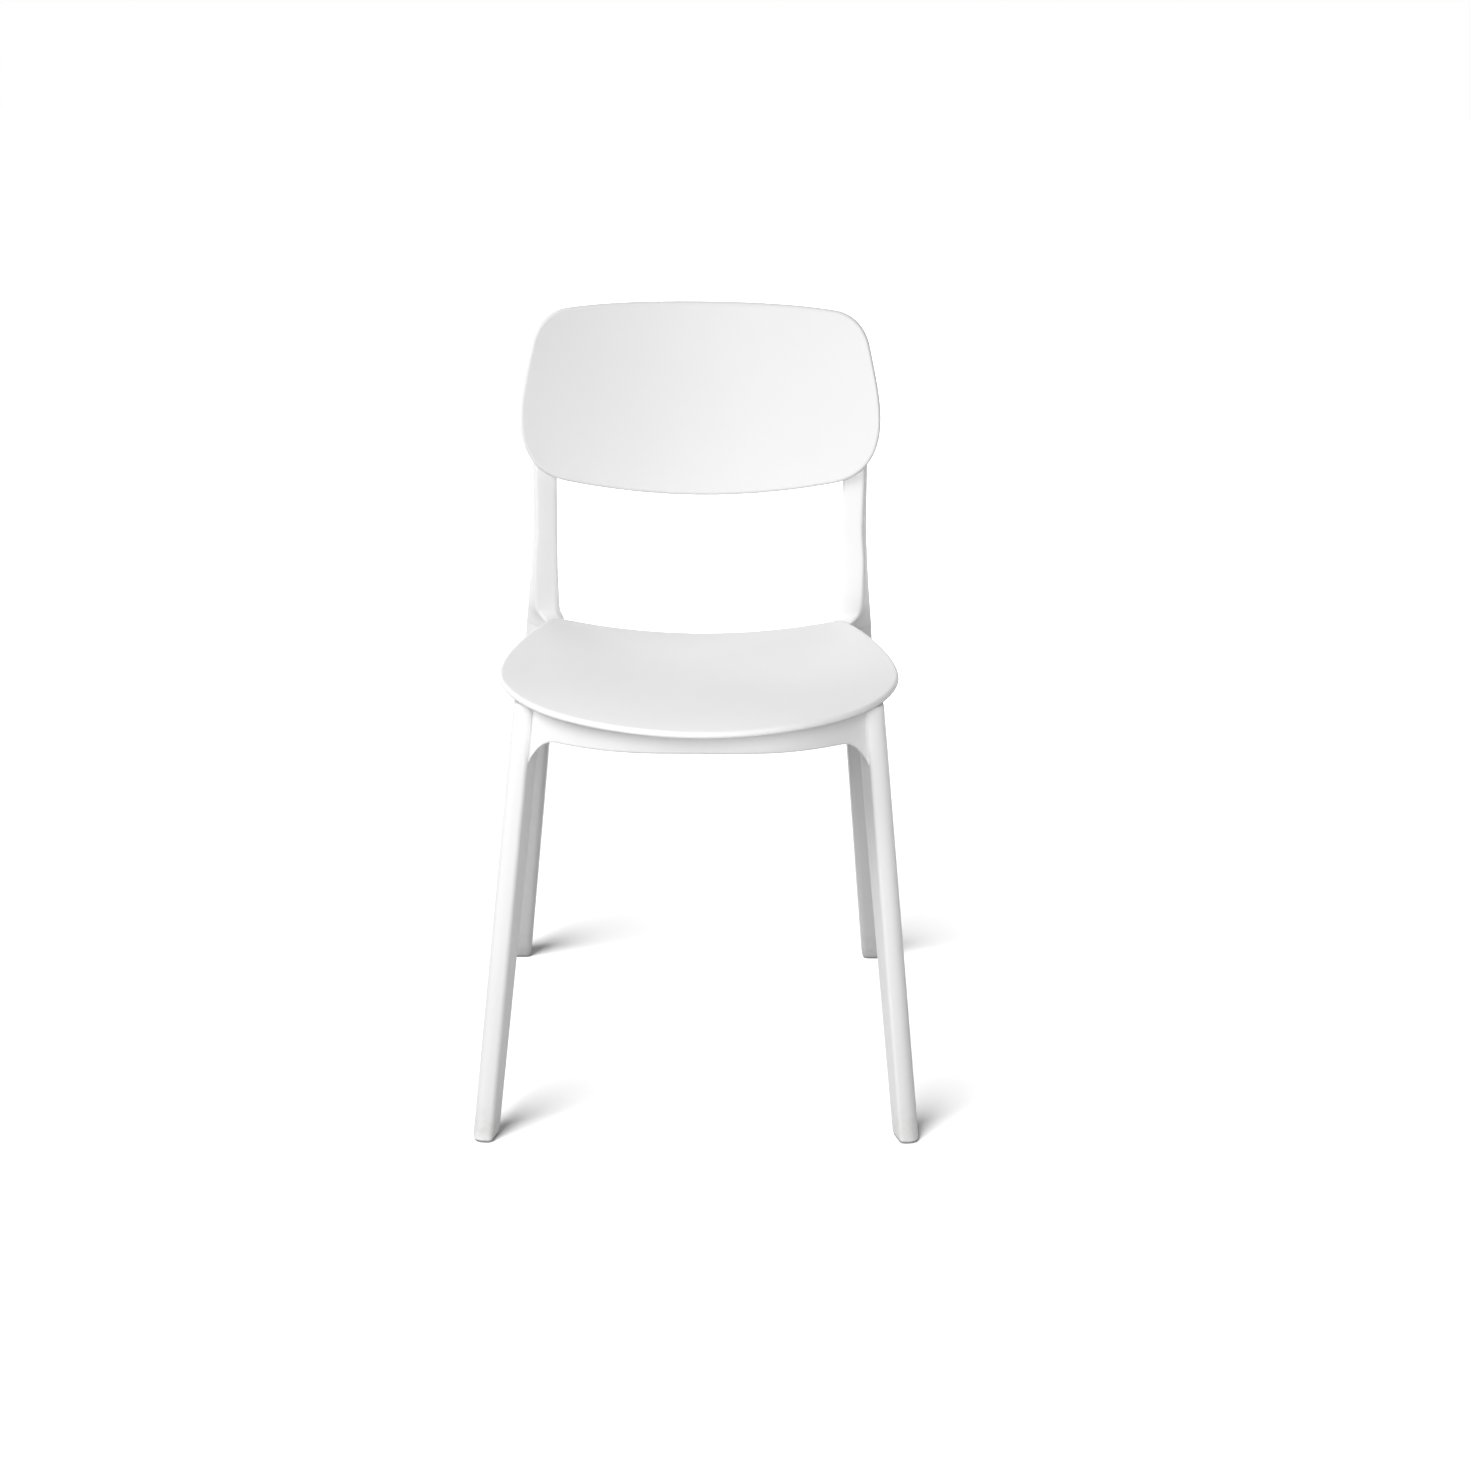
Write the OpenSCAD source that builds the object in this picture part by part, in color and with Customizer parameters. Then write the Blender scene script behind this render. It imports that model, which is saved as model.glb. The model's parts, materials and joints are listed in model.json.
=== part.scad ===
// Stacking chair: a moulded frame of legs and rails with a dished seat and a curved backrest.
// Millimetres. Origin on the floor under the middle of the feet, +Z up, the chair faces -Y.
// Left is -X and right is +X, as someone facing the chair sees it.

/* [Overall] */
// Height of the top of the backrest
overall_h = 812; // [790:1:840]
// Height of the seat's rim at its sides
seat_h = 456; // [440:1:470]
// Height of the apron, measured down from the top of the rails at its middle
apron_h = 21; // [18:1:26]
// Width over the rear feet
overall_w = 474.5; // [463:0.5:485]
// Depth over the feet
overall_d = 489; // [473:1:509]
// How much closer to the middle the front feet stand than the rear feet
foot_toe = 3.5; // [0:0.5:6]

/* [Seat] */
// Half of the seat's greatest width
seat_half_w = 213; // [208:1:222]
// Place of the seat's widest line, front to rear
seat_mid_y = -40; // [-46:1:-34]
// Length of the seat in front of its widest line
seat_front = 204; // [198:1:215]
// Length of the seat behind its widest line
seat_rear = 205; // [198:1:206]
// Half length of the oval that shapes the rear of the seat, if it were not cut short
seat_oval = 325; // [300:1:350]
// Radius of the seat's rear corners
seat_corner = 12; // [6:1:20]
// Height of the seat's rim
seat_rim_t = 7.5; // [7:0.5:8.5]
// Thickness of the seat's skin inside the rim
seat_skin_t = 5; // [4:0.5:6]
// Width of the rim underneath
seat_rim_w = 12; // [8:1:18]
// Depth of the dish at the rear of the seat
seat_dish = 18; // [14:0.5:19]
// Drop of the front edge
seat_roll = 3.5; // [2:0.5:5]
// Width of the bosses under the seat
boss_d = 14; // [12:0.5:18]

/* [Backrest] */
// Distance of the backrest's side edge inside the seat's side edge
back_inset = 8.5; // [5:0.5:12]
// Height of the backrest's panel
back_h = 217; // [195:1:230]
// Depth of the curve from side to side
back_sag = 33.7; // [26:0.1:40]
// Backward lean of the backrest, for each millimetre of height
back_lean = 0.15; // [0.12:0.01:0.18]
// Distance of the backrest's top edge behind the seat's rear edge
back_reach = 60; // [52:1:68]
// Thickness of the backrest's panel
back_t = 9; // [8:0.5:11]

/* [Front legs] */
// Width of a front leg
leg_w = 29; // [27:0.5:32]
// Depth of a front leg, front to rear
leg_d = 31; // [29:0.5:34]
// Depth of a front leg at the foot; its front face stays straight
leg_foot_d = 24; // [22:0.5:29]
// Distance of the leg's centre inside the seat's side edge, at the top of the rails
leg_inset = 36; // [33:0.5:39]
// Distance of the leg's centre behind the seat's front edge, at the top of the rails
leg_setback = 123; // [118:1:128]
// Height of the front legs above the top of the rails
leg_rise = 3; // [1:0.5:3]
// Rounding of the outer front edge
leg_outer_r = 13.5; // [8:0.5:16]
// Rounding of the inner front edge
leg_inner_r = 4; // [3:0.5:7]
// Rounding of the rear edges
leg_rear_r = 3; // [2:0.5:6]
// How much narrower the leg is at its front than at its rear
leg_slant = 9; // [5:0.5:10]

/* [Rear legs] */
// Distance of the posts' inner side inside the seat's side edge
post_inset = 49.5; // [48:0.5:52]
// Width of the posts behind the backrest
post_w = 24.5; // [23.5:0.5:26]
// Depth of the posts behind the backrest
post_d = 21; // [19:0.5:26]
// Distance from the top of the posts to the top of the backrest
post_drop = 60; // [45:1:80]
// Width of the rear leg at the floor
rear_foot_w = 28.5; // [27:0.5:31]
// Depth of the rear leg at the floor
rear_foot_d = 29; // [28:0.5:32]
// Distance of the posts' outermost edge inside the seat's side edge, at the seat
knee_inset = 8.5; // [6:0.5:12]
// Distance of the knee's rear face behind the seat's rear edge
knee_behind = 42; // [38:1:47]
// Distance of the knee's front face in front of the seat's rear edge
knee_ahead = 43; // [37:1:49]

/* [Rails] */
// Distance from the seat's rim down to the top of the rails
rail_drop = 14; // [13.5:0.5:17]
// Height of the side rails
rail_h = 30; // [26:1:34]
// Thickness of the side rails
rail_t = 22; // [18:0.5:23]
// Height of the rear rail at its middle
rear_rail_h = 28; // [24:1:30]
// How much higher the top of the rear rail is at its ends
rear_rail_sweep = 12; // [8:0.5:13]
// Thickness of the rear rail
rear_rail_t = 20; // [16:0.5:22]
// Gap between the seat's rear edge and the rear face of the rear rail
rear_rail_inset = 6; // [4:0.5:10]
// Thickness of the apron
apron_t = 16; // [13:0.5:18]
// Distance from the seat's front edge back to the apron
apron_inset = 26; // [20:1:34]
// Height of the round corners below the apron, if they ran on to the legs' middles
gusset = 44; // [30:1:50]
// Width of the round corners below the apron
gusset_w = 21; // [17:1:26]

/* [Joints and fasteners] */
// Clearance between curved faces that meet
fit_gap = 0.4; // [0.3:0.1:0.8]
// Gap at the shoulders of the slanted joints
joint_gap = 0.1; // [0:0.05:0.3]
// Clearance around the tenons
tenon_gap = 0.3; // [0.2:0.1:0.5]
// Length of the tenons
tenon_len = 12; // [9:0.5:13]
// Height of the tenons
tenon_h = 16; // [12:0.5:18]
// Thickness of the tenons
tenon_t = 9; // [8:0.5:10]
// Diameter of the pins that lock the tenons
pin_d = 4; // [3:0.5:5]
// Diameter of the screws
screw_d = 4; // [3.5:0.5:5]
// Diameter of the screws' heads
head_d = 8; // [7:0.5:9]
// Height of the screws' heads
head_h = 2.6; // [2:0.2:3.4]
// Outside diameter of the threaded inserts
insert_d = 6.4; // [6:0.2:7.5]
// Length of the threaded inserts
insert_len = 5.5; // [5:0.5:6]
// Clearance around pins, screws and inserts
bore_gap = 0.1; // [0.05:0.05:0.3]
// Clearance around the screws' heads
head_gap = 0.6; // [0.3:0.1:1]

/* [Feet and pads] */
// How far the foot glides stay inside the leg's outline
glide_margin = 1.2; // [0.6:0.2:2.4]
// Height of a foot glide below the leg
glide_h = 2; // [1.5:0.5:4]
// Diameter of the glide's stem
stem_d = 10; // [8:0.5:12]
// Length of the glide's stem
stem_len = 20; // [14:1:26]
// Diameter of the stacking pads
pad_d = 15; // [12:0.5:18]
// Height of the stacking pads below the side rails
pad_h = 4; // [3:0.5:6]

/* [Hidden] */
$fn = 40;

white = "#f2f2ef";
shade = "#e6e6e2";
grey = "#8a8c8e";
steel = "#b9bcc0";
brass = "#c8a85a";

LEFT = -1;
RIGHT = 1;

rear_foot_x = (overall_w - rear_foot_w) / 2;
foot_x = rear_foot_x - foot_toe;
foot_y = (overall_d - rear_foot_d) / 2;
rail_top = seat_h - rail_drop;
apron_low = rail_top - apron_h;
back_bottom = overall_h - back_h;
seat_back_y = seat_mid_y + seat_rear;
back_half_w = seat_half_w - back_inset;
back_top_y = seat_back_y + back_reach;
leg_top_x = seat_half_w - leg_inset;
leg_top_y = seat_front - seat_mid_y - leg_setback;
post_in = seat_half_w - post_inset;
knee_out = seat_half_w - knee_inset;
knee_rear_y = seat_back_y + knee_behind;
knee_front_y = seat_back_y - knee_ahead;
knee_low = rail_top - rail_h;
rear_rail_y = seat_back_y - rear_rail_inset - rear_rail_t / 2;
rear_rail_top = seat_h - seat_dish * 1.03 - seat_rim_t - 2;
// Front face of the apron: at the middle, and where it meets the legs
apron_nose_y = seat_mid_y - seat_front + apron_inset;
apron_tip_y = -leg_top_y - leg_d / 2 + leg_inner_r * 0.75;
// Plastic left under the heads of the backrest's screws, and of the seat's screws in each rail
post_web = 9;
apron_web = apron_h * 0.5;
rear_web = rear_rail_h * 0.4;
side_web = rail_h * 0.35;
// Caps over those heads
cap_d = head_d + 2 * head_gap;
cap_len = 5;
// Places of the stacking pads along the side rails
pad_y = [-30, 90];
// Length of the tenons' roots inside their rails
tenon_root = 8;

// ---------------------------------------------------------------- curves and skins

// Value of a smooth curve through [key, value] rows, at one key
function row_at(rows, k, i = 0) =
    i >= len(rows) - 2 || k <= rows[i + 1][0] ? i : row_at(rows, k, i + 1);
function slope_at(rows, i) =
    let (a = rows[max(0, i - 1)], b = rows[min(len(rows) - 1, i + 1)])
    (b[1] - a[1]) / (b[0] - a[0]);
function curve(rows, k) =
    let (i = row_at(rows, k), a = rows[i], b = rows[i + 1], w = b[0] - a[0],
        t = min(1, max(0, (k - a[0]) / w)), t2 = t * t, t3 = t2 * t)
    a[1] * (2 * t3 - 3 * t2 + 1) + b[1] * (3 * t2 - 2 * t3)
    + slope_at(rows, i) * w * (t3 - 2 * t2 + t) + slope_at(rows, i + 1) * w * (t3 - t2);

// Points of a closed outline whose corners are rounded, each by its own distance
function toward(a, b, d, limit) = a + (b - a) * min(limit, d / norm(b - a));
function bend(a, b, c, t) = a * (1 - t) * (1 - t) + b * 2 * t * (1 - t) + c * t * t;
function rounded(corners, cuts, steps = 4, limit = 0.48) =
    let (n = len(corners))
    [for (i = [0:n - 1], s = [0:steps])
        let (p = corners[i], a = toward(p, corners[(i + n - 1) % n], cuts[i], limit),
            c = toward(p, corners[(i + 1) % n], cuts[i], limit))
        bend(a, p, c, s / steps)];

// Cubic curve from a to d, pulled by b and c
function pull(a, b, c, d, t) =
    a * pow(1 - t, 3) + b * 3 * t * pow(1 - t, 2) + c * 3 * t * t * (1 - t) + d * pow(t, 3);

// A solid through closed rings of points, each ring counter-clockwise seen from its far side
module skin(rings) {
    n = len(rings[0]);
    last = len(rings) - 1;
    sides = [for (i = [0:last - 1], j = [0:n - 1])
        let (a = i * n + j, b = i * n + (j + 1) % n, c = a + n, d = b + n)
        each [[a, c, b], [b, c, d]]];
    start = [[for (j = [0:n - 1]) j]];
    finish = [[for (j = [n - 1:-1:0]) last * n + j]];
    polyhedron([for (r = rings) each r], concat(start, sides, finish), convexity = 8);
}

// A plate through rings that start and end at a point
module lens(first, rings, final) {
    n = len(rings[0]);
    last = len(rings) - 1;
    sides = [for (i = [0:last - 1], j = [0:n - 1])
        let (a = 1 + i * n + j, b = 1 + i * n + (j + 1) % n, c = a + n, d = b + n)
        each [[a, c, b], [b, c, d]]];
    start = [for (j = [0:n - 1]) [0, 1 + j, 1 + (j + 1) % n]];
    tip = 1 + (last + 1) * n;
    finish = [for (j = [0:n - 1]) [tip, tip - n + (j + 1) % n, tip - n + j]];
    polyhedron(concat([first], [for (r = rings) each r], [final]),
        concat(start, sides, finish), convexity = 8);
}

module on_side(side) {
    if (side == LEFT) mirror([1, 0, 0]) children();
    else children();
}

// ---------------------------------------------------------------- seat

// Right half of the seat's outline, from the middle of the front to the middle of the rear
seat_tail_angle = asin((seat_rear - seat_corner) / seat_oval);
seat_tail_x = seat_half_w * cos(asin(seat_rear / seat_oval));
seat_side = concat(
    [for (i = [0:13]) let (a = -90 + 90 * i / 14)
        [seat_half_w * cos(a), seat_mid_y + seat_front * sin(a)]],
    [for (i = [0:5]) let (a = seat_tail_angle * i / 6)
        [seat_half_w * cos(a), seat_mid_y + seat_oval * sin(a)]],
    [for (i = [0:4])
        bend([seat_half_w * cos(seat_tail_angle), seat_back_y - seat_corner],
            [seat_tail_x, seat_back_y], [seat_tail_x - seat_corner, seat_back_y], i / 4)],
    [for (i = [1:4]) [(seat_tail_x - seat_corner) * (1 - i / 5), seat_back_y]]);
seat_outline = concat(seat_side, [[0, seat_back_y]],
    [for (i = [len(seat_side) - 1:-1:1]) [-seat_side[i][0], seat_side[i][1]]]);
seat_heart = [0, seat_mid_y + 20];

// Drop of the seat's centre line and rise of its sides, along the length from -1 to 1
seat_drop_rows = [[-1, seat_roll], [-0.9, seat_roll * 0.66], [-0.75, seat_roll * 0.74],
    [-0.4, seat_dish * 0.39], [0, seat_dish * 0.78], [0.5, seat_dish * 1.03],
    [1, seat_dish * 0.94]];
seat_rise_rows = [[-1, seat_dish * 0.06], [-0.75, seat_dish * 0.14], [-0.5, seat_dish * 0.39],
    [0, seat_dish * 0.83], [0.5, seat_dish * 1.14], [1, seat_dish * 1.64]];
function seat_along(y) =
    y < seat_mid_y ? (y - seat_mid_y) / seat_front : (y - seat_mid_y) / seat_rear;
function seat_top(x, y) =
    seat_h - curve(seat_drop_rows, seat_along(y))
    + curve(seat_rise_rows, seat_along(y)) * pow(x / seat_half_w, 2);

function seat_ring(s, drop) =
    [for (p = seat_outline)
        let (q = seat_heart + (p - seat_heart) * s)
        [q[0], q[1], seat_top(q[0], q[1]) - drop]];
rim_s = 1 - seat_rim_w / seat_half_w;

// Places where the seat is screwed down: two on each rail
side_screw_x = post_in + 1 + rail_t / 2;
apron_screw_x = 70;
rear_screw_x = 80;
side_screw_y = [-60, 60];
seat_fixings = [
    for (s = [LEFT, RIGHT]) [s * apron_screw_x, apron_y(apron_screw_x / apron_end(rail_top))
        + apron_t / 2],
    for (s = [LEFT, RIGHT]) [s * rear_screw_x, rear_rail_y],
    for (s = [LEFT, RIGHT], y = side_screw_y) [s * side_screw_x, y]];
// Height of the rail that carries the seat at each fixing
function ledge(i) = i == 2 || i == 3 ? rear_ledge : rail_top;
rear_ledge = rear_rail_z((rear_screw_x - boss_d / 2) / post_in) - 0.2;
function boss_top(i) = seat_top(seat_fixings[i][0], seat_fixings[i][1]) - seat_skin_t / 2;

module seat_panel() {
    color(white)
    difference() {
        union() {
            lens([seat_heart[0], seat_heart[1],
                    seat_top(seat_heart[0], seat_heart[1]) - seat_skin_t],
                [seat_ring(0.3, seat_skin_t), seat_ring(0.6, seat_skin_t),
                    seat_ring(0.8, seat_skin_t), seat_ring(rim_s - 0.012, seat_skin_t),
                    seat_ring(rim_s, seat_rim_t), seat_ring(0.99, seat_rim_t),
                    seat_ring(0.998, seat_rim_t - 1.5), seat_ring(1, seat_rim_t / 2),
                    seat_ring(0.996, 2), seat_ring(0.985, 0.6), seat_ring(0.96, 0),
                    seat_ring(0.88, 0), seat_ring(0.74, 0), seat_ring(0.57, 0),
                    seat_ring(0.38, 0), seat_ring(0.19, 0)],
                [seat_heart[0], seat_heart[1], seat_top(seat_heart[0], seat_heart[1])]);
            for (i = [0:len(seat_fixings) - 1])
                translate([seat_fixings[i][0], seat_fixings[i][1], ledge(i)])
                cylinder(d = boss_d, h = boss_top(i) - ledge(i));
        }
        for (i = [0:len(seat_fixings) - 1])
            translate([seat_fixings[i][0], seat_fixings[i][1], ledge(i) - 1])
            cylinder(d = insert_d + 2 * bore_gap, h = insert_len + 1 + bore_gap);
    }
}

// ---------------------------------------------------------------- backrest

// Distance behind the middle of the backrest's front face
function back_front(x, z) =
    back_top_y - back_lean * (overall_h - z) - back_sag * pow(x / back_half_w, 2);
function back_rear(x, z) = back_front(x, z) + back_t;

// Right half of the outline, as [across, height above the bottom edge]
bw = back_half_w;
back_side = concat(
    [for (i = [0:6]) pull([0, 0], [bw * 0.25, 0], [bw * 0.51, back_h * 0.03],
        [bw * 0.75, back_h * 0.085], i / 7)],
    [for (i = [0:8]) pull([bw * 0.75, back_h * 0.085], [bw * 0.94, back_h * 0.13],
        [bw, back_h * 0.27], [bw, back_h * 0.415], i / 9)],
    [for (i = [0:4]) pull([bw, back_h * 0.415], [bw, back_h * 0.535],
        [bw * 0.965, back_h * 0.66], [bw * 0.935, back_h * 0.79], i / 5)],
    [for (i = [0:6]) pull([bw * 0.935, back_h * 0.79], [bw * 0.91, back_h * 0.895],
        [bw * 0.84, back_h * 0.955], [bw * 0.75, back_h * 0.97], i / 7)],
    [for (i = [0:5]) pull([bw * 0.75, back_h * 0.97], [bw * 0.56, back_h * 0.993],
        [bw * 0.3, back_h], [0, back_h], i / 6)]);
back_outline = concat([for (i = [0:len(back_side) - 1]) [-back_side[i][0], back_side[i][1]]],
    [[0, back_h]], [for (i = [len(back_side) - 1:-1:1]) back_side[i]]);
back_heart = [0, back_h * 0.48];

function back_ring(s, depth) =
    [for (p = back_outline)
        let (q = back_heart + (p - back_heart) * s, z = back_bottom + q[1])
        [q[0], back_front(q[0], z) + depth, z]];

// Screws through the posts: across, height, and the turn of their axis
back_fix_x = post_in + post_w * 0.48;
back_fix_z = [back_bottom + back_h * 0.28, back_bottom + back_h * 0.56];
back_turn = atan(2 * back_sag * back_fix_x / (back_half_w * back_half_w));
back_tilt = atan(back_lean);
module at_back_fixings() {
    for (side = [LEFT, RIGHT], z = back_fix_z)
        on_side(side)
        translate([back_fix_x, back_rear(back_fix_x, z), z])
        rotate([0, 0, -back_turn])
        rotate([-90 - back_tilt, 0, 0])
        children();
}

module backrest_panel() {
    heart_y = back_front(0, back_bottom + back_heart[1]);
    color(white)
    difference() {
        lens([0, heart_y, back_bottom + back_heart[1]],
            [back_ring(0.2, 0), back_ring(0.4, 0), back_ring(0.6, 0), back_ring(0.78, 0),
                back_ring(0.9, 0), back_ring(0.96, 0), back_ring(0.986, 0.5),
                back_ring(0.997, 1.8), back_ring(1, back_t / 2),
                back_ring(0.997, back_t - 1.8), back_ring(0.986, back_t - 0.4),
                back_ring(0.96, back_t), back_ring(0.8, back_t), back_ring(0.55, back_t),
                back_ring(0.28, back_t)],
            [0, heart_y + back_t, back_bottom + back_heart[1]]);
        at_back_fixings()
            translate([0, 0, -insert_len - bore_gap])
            cylinder(d = insert_d + 2 * bore_gap, h = insert_len + bore_gap + 1);
    }
}

// ---------------------------------------------------------------- front legs

// Centre of a front leg at a height, on the right
function leg_at(z) =
    let (t = z / rail_top)
    [foot_x + (leg_top_x - foot_x) * t, -foot_y - (leg_top_y - foot_y) * t];
// The leg keeps its full depth above this height and narrows from behind below it
leg_full_z = rail_top * 0.75;
function leg_depth(z) = leg_d - (leg_d - leg_foot_d) * max(0, 1 - z / leg_full_z);
function leg_ring(z) =
    let (c = leg_at(z), w = leg_w / 2, front = leg_w - leg_slant, y0 = c[1] - leg_d / 2,
        y1 = y0 + leg_depth(z), thin = leg_slant * (1 - leg_depth(z) / leg_d))
    [for (p = rounded([[c[0] - w + leg_slant, y0], [c[0] + w, y0], [c[0] + w, y1],
        [c[0] - w + thin, y1]],
        [min(leg_inner_r, front / 3), min(leg_outer_r, front * 2 / 3), leg_rear_r, leg_rear_r],
        6, 0.67))
        [p[0], p[1], z]];

// The apron's tenon points into the leg's inner side, the side rail's into its rear side
apron_tenon_y = leg_at(rail_top)[1] - leg_d / 2 + leg_inner_r + tenon_t / 2;
apron_tenon_x = leg_inner(rail_top) + leg_lean(leg_rear(rail_top) - apron_tenon_y);
tenon_top = rail_top - 4;
rear_tenon_top = rear_rail_top - 5;
side_tenon_x = side_screw_x;

// Inner side and rear side of a front leg at a height
function leg_inner(z) = leg_at(z)[0] - leg_w / 2;
function leg_rear(z) = leg_at(z)[1] + leg_d / 2;
// How far the inner side has slanted outward at a distance in front of the rear side
function leg_lean(ahead) = leg_slant * ahead / leg_d;

// A tenon, or with a clearance the pocket that takes it
module tenon(from, to, top, gap = 0) {
    lo = [min(from[0], to[0]), min(from[1], to[1]), top - tenon_h];
    hi = [max(from[0], to[0]), max(from[1], to[1]), top];
    translate(lo - [gap, gap, gap])
    cube(hi - lo + [2 * gap, 2 * gap, 2 * gap]);
}

// The four tenons on the right, each from inside its rail to its tip
module apron_tenon(gap = 0) {
    tenon([apron_tenon_x - tenon_root - leg_slant, apron_tenon_y - tenon_t / 2],
        [apron_tenon_x + tenon_len, apron_tenon_y + tenon_t / 2], tenon_top, gap);
}
module side_front_tenon(gap = 0) {
    y = leg_rear(rail_top);
    tenon([side_tenon_x - tenon_t / 2, y + tenon_root],
        [side_tenon_x + tenon_t / 2, y - tenon_len],
        tenon_top, gap);
}
module side_rear_tenon(gap = 0) {
    tenon([side_tenon_x - tenon_t / 2, knee_front_y - tenon_root],
        [side_tenon_x + tenon_t / 2, knee_front_y + tenon_len], tenon_top, gap);
}
module rear_tenon(gap = 0) {
    tenon([post_in - tenon_root, rear_rail_y - tenon_t / 2],
        [post_in + tenon_len, rear_rail_y + tenon_t / 2], rear_tenon_top, gap);
}

// Pins drop in from above, one through each tenon: across, front to rear, and lower end
pin_under = 4;
pins = [[apron_tenon_x + tenon_len * 0.5, apron_tenon_y, tenon_top - tenon_h - pin_under],
    [side_tenon_x, leg_rear(rail_top) - tenon_len * 0.45, tenon_top - tenon_h - pin_under],
    [side_tenon_x, knee_front_y + tenon_len * 0.5, tenon_top - tenon_h - pin_under],
    [post_in + tenon_len * 0.62, rear_rail_y, rear_tenon_top - tenon_h - pin_under]];
module pin_bores(list) {
    for (p = list)
        translate([p[0], p[1], p[2]])
        cylinder(d = pin_d + 2 * bore_gap, h = rail_top + leg_rise + 1 - p[2]);
}

// Middle of the leg's end on the floor
leg_foot_y = foot_y + (leg_d - leg_foot_d) / 2;
module front_leg() {
    difference() {
        skin([for (z = [glide_h, rail_top * 0.25, rail_top * 0.5, leg_full_z,
            rail_top + leg_rise]) leg_ring(z)]);
        apron_tenon(tenon_gap);
        side_front_tenon(tenon_gap);
        pin_bores([pins[0], pins[1]]);
        translate([foot_x, -leg_foot_y, 0])
            cylinder(d = stem_d + 2 * bore_gap, h = glide_h + stem_len + bore_gap);
    }
}
module front_leg_left() { color(white) mirror([1, 0, 0]) front_leg(); }
module front_leg_right() { color(white) front_leg(); }

// ---------------------------------------------------------------- rear legs

// Each station holds a height and the six corners of the section on the right: inner front,
// outer front, the waist of the outer side, outermost, outer rear, inner rear
function waist(nose, out, share, dent = 0) = nose + (out - nose) * share - [dent, 0];
function post_station(z, out, narrow = 0) =
    let (x1 = post_in + narrow * 0.5, x2 = post_in + post_w - narrow,
        y1 = back_rear(x1, z) + fit_gap, y2 = back_rear(x2, z) + fit_gap,
        nose = [x2, y2], side = [x2 + out, y2 + post_d * 0.64])
    [z, [x1, y1], nose, waist(nose, side, 0.55), side, [side[0] - post_taper, y1 + post_d],
        [x1 + post_draft, y1 + post_d]];

post_taper = 2;
post_draft = 2.5;
post_low_y = back_rear(post_in, back_bottom) + fit_gap;
post_low_x = post_in + post_w + 5;
post_root_y = seat_back_y + 2.2;
post_top = overall_h - post_drop;
knee_x = side_screw_x + rail_t / 2 + 1;
rear_foot_in = rear_foot_x - rear_foot_w / 2;
rear_foot_out = rear_foot_x + rear_foot_w / 2;
rear_foot_front = foot_y - rear_foot_d / 2;
rear_foot_back = foot_y + rear_foot_d / 2;

// Straight lines down the leg, from the knee to the floor
function down(top, foot, z) = foot + (top - foot) * z / rail_top;
function leg_station(z, front, nose_x, lead, dent = 0) =
    let (in = down(post_in, rear_foot_in, z), out = down(knee_out, rear_foot_out, z),
        back = down(knee_rear_y, rear_foot_back, z), nose = [nose_x, front], side = [out, lead])
    [z, [in, front], nose, waist(nose, side, 0.75, dent), side, [out - post_taper, back],
        [in, back]];
// Up the post: height above the rails, front face behind the seat's edge, width of the front
// face, how far its inner edge flares towards the middle, and how far its outer edge stands
// forward as a shoulder beside the seat
function rise_station(rise, behind, wide, lead, flare, shoulder = 0) =
    let (t = rise / (back_bottom - rail_top), front = post_root_y + behind,
        out = knee_out + (post_low_x - knee_out) * sin(90 * min(1, t)),
        back = knee_rear_y + (post_low_y + post_d - knee_rear_y) * sin(90 * min(1, t * 1.6)),
        nose = [post_in + wide, front - wide * 0.28 * min(1, t * 3) - shoulder],
        side = [out, lead])
    [rail_top + rise, [post_in - flare, front], nose, waist(nose, side, 0.55), side,
        [out - post_taper, back], [post_in + post_draft * min(1, t * 2), back]];

// Down the straight leg: share of the height, front face in front of the knee's line, outer
// front edge inside the outermost line, and the outermost edge in front of the foot's middle
shin_rows = [[0.2, 44, 6, 1], [0.45, 43, 7, 13], [0.68, 40, 9, 22]];
// Round the knee: height below the rail, front face behind the knee's, outer front edge
// outside the rail's, outermost edge in front of the rear face, and dent of the outer side
knee_rows = [[54, 42, 13, 5, 0], [31, 30, 8.5, 8, 0], [15, 13, 5, 10, 1.5], [7, 3, 1, 11, 3],
    [1, 0, 0, 11, 4.5]];
// Up from the seat's rear corner, as rise_station takes them
root_rows = [[0.6, -2, 9.5, 11.4, 0, 9], [4, -1.7, 10.3, 11.8, 2.6, 9],
    [7, -1.4, 11.4, 12, 5.2, 9], [9.5, -1.2, 12.8, 12.2, 7, 8.8], [12, -1, 14.8, 12.5, 7, 8],
    [13.4, -0.9, 16.2, 12.6, 4.8, 7.2], [15, -0.7, 18, 12.8, 2.8, 6],
    [17, -0.5, 20.3, 13, 1.5, 4.2], [20, -0.2, 23.2, 13.2, 0.5, 1.9],
    [24, 0.1, 25.4, 13.6, 0.1, 0.5], [30, 0.7, 26.8, 14.3, 0, 0], [43, 1.8, 27.2, 15.8, 0, 0],
    [60, 3.2, 27.3, 17.6, 0, 0], [84, 5.4, 27, 19, 0, 0], [120, 9, 24.4, 19, 0, 0]];

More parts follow.
